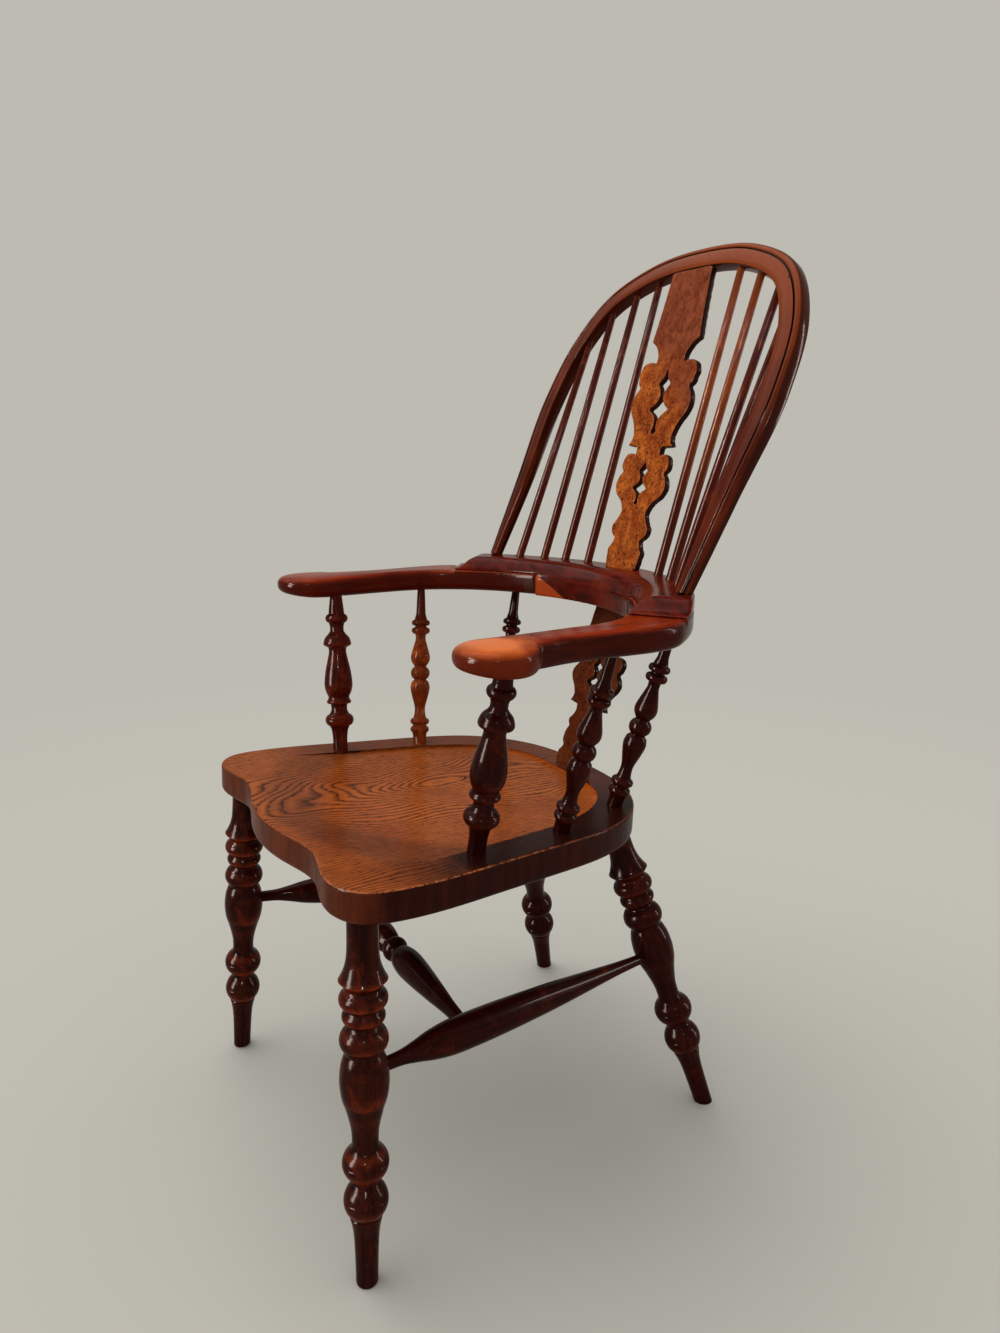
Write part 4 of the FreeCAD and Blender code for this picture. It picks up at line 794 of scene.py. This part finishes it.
def cross_outline(half):
    wide = ((0.84, 18), (0.62, 26.3), (0.40, 33.6), (0.24, 36.5), (0.13, 32.1))
    o = [(-half - 12, 13), (-half, 15)]
    flow(o, *[(-half * share, d) for share, d in wide], (-14, 24.1))
    line(o, -10.5, 21.9)
    bead(o, 10.5, 21.9, 33.5)
    line(o, 14, 24.1)
    flow(o, *[(half * share, d) for share, d in reversed(wide)], (half, 15))
    line(o, half + 12, 13)
    return o


side = front + (rear - front) * CROSS_AT
middle = Vector((0, side.y, side.z))
cross = cross_outline(side.x / MM - STRETCHER_WIDEST / 2)
turned_copies(cross, [("turned_cross_stretcher", middle, side)], dark_wood)

# %% [markdown]
# Three posts stand under each arm.  The front one is the thickest, with a vase under a sharp flange.  The
# middle and rear posts share a pattern: rings, two vases foot to foot, and a ball between them.

# %% Posts under the arms
ARM_INNER = BOW_INNER - 30


def front_post_outline(length):
    k, b = length / 219, 40
    o = [(-10, b * 0.52), (0, b * 0.52)]
    flow(o, (17, b * 0.51), (29, b * 0.58), (33, b * 0.66))
    line(o, 35, b * 0.70)
    bead(o, 52.5, b * 0.70, b)
    flow(o, (57, b * 0.58), (62, b * 0.55))
    line(o, 66.5, b * 0.60)
    bead(o, 72.5, b * 0.66, b * 0.86, cuts=6)
    flow(o, (77, b * 0.74), (85, b * 0.91), (95.5, b * 0.99), (113, b * 0.90), (130, b * 0.72),
         (141, b * 0.61), (147, b * 0.64))
    line(o, 150.5, b * 0.95)
    flow(o, (153.5, b * 0.98), (161, b * 0.86), (167, b * 0.60))
    line(o, 171, b * 0.48)
    line(o, 177, b * 0.48)
    line(o, 182, b * 0.55)
    bead(o, 195, b * 0.56, b * 0.79)
    line(o, 199, b * 0.54)
    line(o, 219, 17)
    line(o, 229, 17)
    scribe(o, 46)
    return [(height * k, diameter) for height, diameter in o]


def small_post_outline(length):
    k, r = length / 228, 28
    o = [(-10, r * 0.69), (0, r * 0.69)]
    flow(o, (10, r * 0.70), (15.5, r * 0.78))
    bead(o, 25.5, r * 0.72, r * 0.98, cuts=7)
    line(o, 27, r * 0.72)
    bead(o, 37, r * 0.70, r, cuts=7)
    flow(o, (42, r * 0.59), (53, r * 0.555), (68, r * 0.83), (81, r * 1.02), (90, r * 0.90))
    line(o, 94, r * 0.62)
    bead(o, 113, r * 0.62, r)
    line(o, 115, r * 0.68)
    flow(o, (121, r * 0.95), (129, r), (143, r * 0.74), (154, r * 0.53), (161, r * 0.56))
    bead(o, 172, r * 0.60, r * 0.97, cuts=7)
    line(o, 173.5, r * 0.58)
    bead(o, 183, r * 0.56, r * 0.97, cuts=7)
    line(o, 192, r * 0.50)
    line(o, 228, 11)
    line(o, 238, 11)
    return [(height * k, diameter) for height, diameter in o]


POSTS = {
    "front_side_post": (front_post_outline, on_seat(200, -103), at(ARM_INNER + 10, -88, ARM_BOTTOM)),
    "middle_side_post": (small_post_outline, on_seat(188, 16), at(ARM_INNER + 11, 46.5, ARM_BOTTOM)),
    "rear_side_post": (small_post_outline, on_seat(145.5, 124.5), on_bow(BOW_INNER + 47.5, 36.2, ARM_BOTTOM)),
}
for name, (outline, low, high) in POSTS.items():
    turned_copies(outline((high - low).length / MM), both(name, low, high), dark_wood)
bpy.data.objects["turned_middle_right_post"].data.materials[0] = worn_post_wood_with_painted_glow
bpy.data.objects["turned_front_right_post"].data.materials[0] = reddened_wood

# %% [markdown]
# Eight long sticks fill the hoop.  They were shaved by hand, so each is a little thicker below its middle.
# Where each stands is read from the frame: a leaning rod touches opposite corners of its box.

# %% Long sticks
STICK_INSET = Vector((0.0056, 0.0058, 0.0015))
HEAD_SHARE = 0.84


def stick_outline(length):
    o = [(0, 11.3), (22, 11.5)]
    flow(o, (length * 0.35, 11.8), (length * 0.7, 10.3), (length - 26, 9.6), cuts=8)
    line(o, length, 9.4)
    return o


for number in (1, 2, 3, 4):
    low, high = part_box("left_stick_%d" % number)
    foot, head = low + STICK_INSET, high - STICK_INSET * HEAD_SHARE
    outline = stick_outline((head - foot).length / MM)
    turned_copies(outline, both("side_stick_%d" % number, foot, head), stick_wood)
for number in (1, 2):
    bpy.data.objects["turned_left_stick_%d" % number].data.materials[0] = golden_wood

# %% [markdown]
# The hoop was planed and moulded as a straight bar, steamed, and bent round a form.  The same order works
# here: the section is drawn as a chain of points and closed, the bar is extruded and divided, its ends are
# thinned, and a Curve modifier bends it.  Its straight coordinates are stored first, so the grain follows
# the bend.  The front has a flat inner band, a dark groove, and a round bead at the outer edge.

# %% The straight bar of the hoop
HOOP_FACE = 31
HOOP_THICK = 19
FOOT_FACE = 15
FOOT_THICK = 13.5
HOOP_THIN_LENGTH = 250


def hoop_section():
    """Half-round and groove of the hoop's section: (across the face from its middle, forward)."""
    half, front = HOOP_FACE / 2, HOOP_THICK / 2
    points = [(-half + 2.5, -front), (-half + 0.7, -front + 0.7), (-half, -front + 2.5),
              (-half, front - 2.0), (-half + 0.6, front - 0.6), (-half + 2.0, front), (-4, front),
              (4.2, front), (4.9, front - 0.3), (5.2, front - 2.0), (6.4, front - 2.0), (6.7, front - 0.6)]
    for degrees in range(170, 10, -20):
        turn = math.radians(degrees)
        points.append((9.2 + 2.2 * math.cos(turn), front - 1.2 + 1.2 * math.sin(turn)))
    points += [(12.2, front - 1.9), (13.6, front - 2.6), (14.7, front - 4.0), (half, front - 6.2)]
    return points + [(half, -front + 2.5), (half - 0.7, -front + 0.7), (half - 2.5, -front)]


def section_size(rise):
    """How much of its full face and thickness the hoop has at a rise above its foot."""
    share = min(rise / HOOP_THIN_LENGTH, 1)
    face = FOOT_FACE + (HOOP_FACE - FOOT_FACE) * share * (2 - share)
    thick = FOOT_THICK + (HOOP_THICK - FOOT_THICK) * share
    return face / HOOP_FACE, thick / HOOP_THICK


def draw_out(bar, length):
    """Extrudes the section in stretches, and thins each towards the ends as the spokeshave does."""
    near = [HOOP_THIN_LENGTH * part / 5 for part in range(6)]
    stations = near + [length - place for place in reversed(near)]
    size = section_size(0)
    open_up(bar)
    bpy.ops.transform.resize(value=(1, *size), center_override=(0, 0, 0))
    for last, station in zip(stations, stations[1:]):
        bpy.ops.mesh.extrude_region_move(TRANSFORM_OT_translate={"value": ((station - last) * MM, 0, 0)})
        wanted = section_size(min(station, length - station))
        ratio = (wanted[0] / size[0], wanted[1] / size[1])
        bpy.ops.transform.resize(value=(1, *ratio), center_override=(station * MM, 0, 0))
        size = wanted
    mode("OBJECT")


def divide(bar, shortest, longest, cuts):
    """Divides the edges that run along the bar and have a length in a range."""
    open_edges(bar, lambda first, last: shortest * MM < abs(first.co.x - last.co.x) < longest * MM)
    bpy.ops.mesh.subdivide(number_cuts=cuts)
    bpy.ops.mesh.select_all(action="SELECT")
    bpy.ops.mesh.normals_make_consistent(inside=False)
    bpy.ops.mesh.select_all(action="DESELECT")
    mode("OBJECT")

# %% [markdown]
# The form that the hoop is bent round follows the frame's hoop: straight sides that swell a little to their
# widest place, then an arch.  It is drawn flat, through the middle of the bar, in the plane of the hoop.

# %% The bending form
HOOP_RAKE = 0.485
HOOP_RISE = 462
WIDEST_AT = 252
HOOP_SWELL = 21
HOOP_FOOT = on_bow(BOW_INNER + BOW_WIDTH - 13, 43, CREST_TOP)
FOOT_HALF = HOOP_FOOT.x / MM + FOOT_FACE / 2
WIDEST = FOOT_HALF + HOOP_SWELL


def hoop_middle_line():
    """Middle line of half the hoop as (half width, rise up its slope), foot to crown."""
    arch = HOOP_RISE - WIDEST_AT
    outer = [(FOOT_HALF, 0, FOOT_FACE), (FOOT_HALF + HOOP_SWELL * 0.45, WIDEST_AT * 0.48, 24),
             (WIDEST, WIDEST_AT, HOOP_FACE), (WIDEST * 0.936, WIDEST_AT + arch * 0.424, HOOP_FACE),
             (WIDEST * 0.752, WIDEST_AT + arch * 0.757, HOOP_FACE),
             (WIDEST * 0.44, WIDEST_AT + arch * 0.938, HOOP_FACE), (0, HOOP_RISE, HOOP_FACE)]
    middle = []
    for i, (x, rise, face) in enumerate(outer):
        before = outer[max(i - 1, 0)]
        after = outer[i + 1] if i + 1 < len(outer) else (-before[0], before[1])
        run = Vector((after[0] - before[0], after[1] - before[1])).normalized()
        middle.append((x - run.y * face / 2, rise + run.x * face / 2 if i else 0))
    return middle


def smooth_through(points, cuts):
    """A smooth line through unevenly spaced points, each pair bridged by a cubic."""
    points = [Vector(p) for p in points]
    gaps = [(b - a).length for a, b in zip(points, points[1:])]
    slopes = []
    for i in range(len(points)):
        if 0 < i < len(points) - 1:
            left, right = (points[i] - points[i - 1]) / gaps[i - 1], (points[i + 1] - points[i]) / gaps[i]
            slopes.append((left * gaps[i] + right * gaps[i - 1]) / (gaps[i - 1] + gaps[i]))
        else:
            near = min(i, len(gaps) - 1)
            slopes.append((points[near + 1] - points[near]) / gaps[near])
    line_points = [points[0]]
    for a, b, va, vb, gap in zip(points, points[1:], slopes, slopes[1:], gaps):
        for cut in range(1, cuts + 1):
            t = cut / cuts
            line_points.append(a * (2 * t ** 3 - 3 * t ** 2 + 1) + va * gap * (t ** 3 - 2 * t ** 2 + t)
                               + b * (3 * t ** 2 - 2 * t ** 3) + vb * gap * (t ** 3 - t ** 2))
    return line_points


half_line = hoop_middle_line()
form_points = smooth_through([(-x, y) for x, y in half_line] + half_line[-2::-1], 14)
form_length = sum((b - a).length for a, b in zip(form_points, form_points[1:]))
print("hoop length", round(form_length), "mm")

# %% Bend the hoop
HOOP_SUNK = 0.002


def bending_form(points):
    bpy.ops.object.select_all(action="DESELECT")
    bpy.ops.curve.primitive_nurbs_path_add()
    form = bpy.context.object
    form.name = "bending_form"
    form.data.splines.clear()
    form.data.dimensions = "2D"
    spline = form.data.splines.new("POLY")
    spline.points.add(len(points) - 1)
    for point, place in zip(spline.points, points):
        point.co = (place[0] * MM, place[1] * MM, 0, 1)
    return form


hoop = draw_chain("bent_hoop", [(0, *point) for point in hoop_section()])
bpy.ops.mesh.edge_face_add()
mode("OBJECT")
draw_out(hoop, form_length)
divide(hoop, HOOP_THIN_LENGTH / 10, HOOP_THIN_LENGTH, 8)
divide(hoop, HOOP_THIN_LENGTH, form_length, 130)
print("bar of the hoop:", len(hoop.data.polygons), "faces")
store_bench(hoop.data)
form = bending_form(form_points)
finish_with(hoop, "CURVE", object=form, deform_axis="POS_X")
bpy.data.objects.remove(form)
choose(hoop)
bpy.ops.object.shade_smooth_by_angle(angle=math.radians(40))
tilt = Matrix.Rotation(math.atan2(1, HOOP_RAKE), 4, "X")
hoop.matrix_world = Matrix.Translation(Vector((0, HOOP_FOOT.y, HOOP_FOOT.z))) @ tilt
fix_place(hoop)
cut_level(hoop, CREST_TOP * MM - HOOP_SUNK)
hand_over(hoop, "hoop", hoop_wood)

# %% [markdown]
# Arms and crest were sawn from planks, then rasped, scraped and worn until no sharp edge is left.  A copy of
# the frame's piece is merged and remeshed into small even faces, and a Smooth modifier wears the edges down.
# A board that leans would be remeshed in steps, so it is laid flat for this and then leant back.

# %% Arms and crest
PAD_REACH = 0.043
PAD_LENGTH = 0.105
PAD_FADE = 0.06
PAD_FALL = 0.0035
PAD_TUCK = 0.0010


def laid_flat(piece, turn):
    piece.rotation_euler = (turn, 0, 0)
    fix_place(piece)


def scraped_copy(node, name, grain_size, strokes, lean=0.0):
    """A copy of the frame's piece with its edges softly worn."""
    piece = new_object(name, frame["nodes"][node].data.copy())
    open_up(piece)
    bpy.ops.mesh.remove_doubles(threshold=0.00001)
    mode("OBJECT")
    laid_flat(piece, lean)
    finish_with(piece, "REMESH", mode="VOXEL", voxel_size=grain_size, use_smooth_shade=True)
    finish_with(piece, "SMOOTH", factor=0.5, iterations=strokes)
    laid_flat(piece, -lean)
    return piece


def crown(piece):
    """Rounds a hand pad like a cushion: its top falls and its underside rises towards the rim."""
    middle = (ARM_TOP + ARM_BOTTOM) / 2 * MM
    for vertex in piece.data.vertices:
        ahead = PAD.y - vertex.co.y
        away = math.hypot(abs(vertex.co.x) - PAD.x, max(ahead, 0))
        share = min(away / PAD_REACH, 1) ** 3
        fade = min(max((ahead + PAD_LENGTH) / PAD_FADE, 0), 1)
        above = vertex.co.z - middle
        depth = PAD_FALL if above > 0 else PAD_TUCK
        vertex.co.z -= depth * share * fade * above / (ARM_THICKNESS / 2 * MM)


for node, material, grain_size, strokes in (
        ("left_arm", arm_wood, 0.0019, 14), ("right_arm", arm_wood, 0.0019, 14),
        ("crest", crest_wood, 0.0017, 8)):
    piece = scraped_copy(node, "scraped_" + node, grain_size, strokes)
    if node != "crest":
        crown(piece)
    hand_over(piece, node, material)
    print(piece.name, len(piece.data.polygons), "faces")

# %% [markdown]
# The splats are thin boards, fretted with a fine saw and sanded, so they keep more of their edges.  The head
# of the upper one loses its front corner, to go up behind the bead of the hoop.

# %% Splats
HEAD_BELOW = 5
HEAD_PROUD = 2.2


def lean_of(node):
    """How far a splat leans back, from the frame's own flat front face."""
    mesh = frame["nodes"][node].data
    front = max((p for p in mesh.polygons if p.normal.y < -0.9), key=lambda p: p.area)
    return math.atan2(front.normal.z, -front.normal.y)


def chamfer_head(piece):
    along_hoop = Vector((0, HOOP_RAKE, 1)).normalized()
    forward = Vector((0, -1, HOOP_RAKE)).normalized()
    inner_edge = HOOP_RISE - HOOP_FACE - HEAD_BELOW
    foot = Vector((0, HOOP_FOOT.y, HOOP_FOOT.z))
    corner = foot + (along_hoop * inner_edge + forward * (HOOP_THICK / 2 + HEAD_PROUD)) * MM
    open_up(piece)
    bpy.ops.mesh.bisect(plane_co=corner, plane_no=along_hoop + forward, use_fill=True, clear_outer=True)
    mode("OBJECT")


for node in ("upper_splat", "lower_splat"):
    lean = lean_of(node)
    piece = scraped_copy(node, "sanded_" + node, 0.0013, 3, lean)
    if node == "upper_splat":
        chamfer_head(piece)
    hand_over(piece, node, splat_burr)
    print(piece.name, "leans", round(math.degrees(lean), 1), len(piece.data.polygons), "faces")

# %% [markdown]
# The camera stands to the left front of the chair at the height of its crest, looking slightly down.

# %% Camera
LOOKS_DOWN = 13.548
TURNED = 59.601
ROLLED = 0.182
camera = new_object("camera", bpy.data.cameras.new("camera"))
bpy.context.scene.camera = camera
camera.location = at(1042.9, -568.1, 884.5)
camera.rotation_euler = (math.radians(90 - LOOKS_DOWN), 0, math.radians(TURNED))
camera.rotation_euler.rotate_axis("Z", math.radians(ROLLED))
camera.data.sensor_width = 36.0
camera.data.lens = 25.92
camera.data.clip_start = 0.05
camera.data.clip_end = 200

# %% [markdown]
# The photograph has a seamless warm grey ground.  A very wide floor and a sky of the same grey meet without
# a line, if the floor is lit evenly.  So the main light is a broad sun, which is as strong far away as near,
# and further off the paper of the floor turns into plain grey.  The sky is that grey to the camera and in the
# polish, and a little brighter where it lights the chair.

# %% Floor and sky
GROUND_GREY = seen(190, 187, 178)
SKY_LIGHT = (0.68, 0.68, 0.67, 1)
LIT_NEAR = 1.0
PLAIN_FAR = 2.4
bpy.ops.object.select_all(action="DESELECT")
bpy.ops.mesh.primitive_plane_add(size=160, location=(0, 0, 0))
floor = bpy.context.object
floor.name = "floor"
paper, paper_tree, paper_shader = new_material("grey_paper")
paper_shader.inputs["Base Color"].default_value = GROUND_GREY
paper_shader.inputs["Roughness"].default_value = 0.95
paper_shader.inputs["Specular IOR Level"].default_value = 0.0
away = put(paper_tree, "TexCoord", out="Object")
away = vectors(paper_tree, "LENGTH", away, out="Value")
plain_share = between(paper_tree, away, LIT_NEAR, PLAIN_FAR)
plain_grey = put(paper_tree, "Emission", GROUND_GREY, 1.0)
ground = put(paper_tree, "MixShader", plain_share, paper_shader.outputs[0], plain_grey)
paper_tree.links.new(ground, paper_tree.nodes["Material Output"].inputs["Surface"])
floor.data.materials.append(paper)

sky = bpy.data.worlds.new("studio")
bpy.context.scene.world = sky
sky.use_nodes = True
sky_tree = sky.node_tree
sky_light = sky_tree.nodes["Background"]
sky_light.inputs["Strength"].default_value = 1.0
rays = sky_tree.nodes.new("ShaderNodeLightPath").outputs
seen_rays = maths(sky_tree, "ADD", rays["Is Camera Ray"], rays["Is Glossy Ray"])
seen_rays = maths(sky_tree, "ADD", seen_rays, rays["Is Transmission Ray"])
sky_tree.links.new(mix(sky_tree, seen_rays, SKY_LIGHT, GROUND_GREY), sky_light.inputs["Color"])
print(floor.name, sky.name)

# %% [markdown]
# The shadow falls softly to the right and behind, so the sun stands high at the left of the picture.  Four
# bright windows put the sharp glints on the polish.  They show only there: the wood and the floor get no
# light from them.

# %% Lamps
SUN_STRENGTH = 1.38
SUN_SPREAD = 62
WINDOW_COLOUR = (1.0, 0.84, 0.77)


def hang(name, lamp, place, target):
    hung = new_object(name, lamp)
    hung.location = place
    hung.rotation_euler = (Vector(target) - hung.location).to_track_quat("-Z", "Y").to_euler()
    return hung


def window(name, place, target, size, power):
    lamp = bpy.data.lights.new(name, "AREA")
    lamp.shape = "RECTANGLE"
    lamp.size, lamp.size_y = size
    lamp.energy = power
    lamp.color = WINDOW_COLOUR
    hang(name, lamp, place, target).visible_diffuse = False


sun = bpy.data.lights.new("broad_sun", "SUN")
sun.energy = SUN_STRENGTH
sun.angle = math.radians(SUN_SPREAD)
hang("broad_sun", sun, (-1.0, -0.57, 2.2), (0, 0, 0))
window("front_window", (-0.3, -4.5, 1.9), (0, 0, 0.7), (1.3, 3.4), 820)
window("high_window", (-1.2, -3.6, 3.4), (0, 0, 0.5), (0.30, 0.45), 110)
window("near_window", (3.0, -1.6, 2.8), (0, 0, 0.5), (0.14, 0.22), 24)
window("side_window", (2.0, 3.6, 1.6), (0, 0, 0.7), (0.30, 2.6), 90)
print([lamp.name for lamp in bpy.data.lights])

# %% Finish
bpy.context.scene.view_settings.view_transform = "Standard"
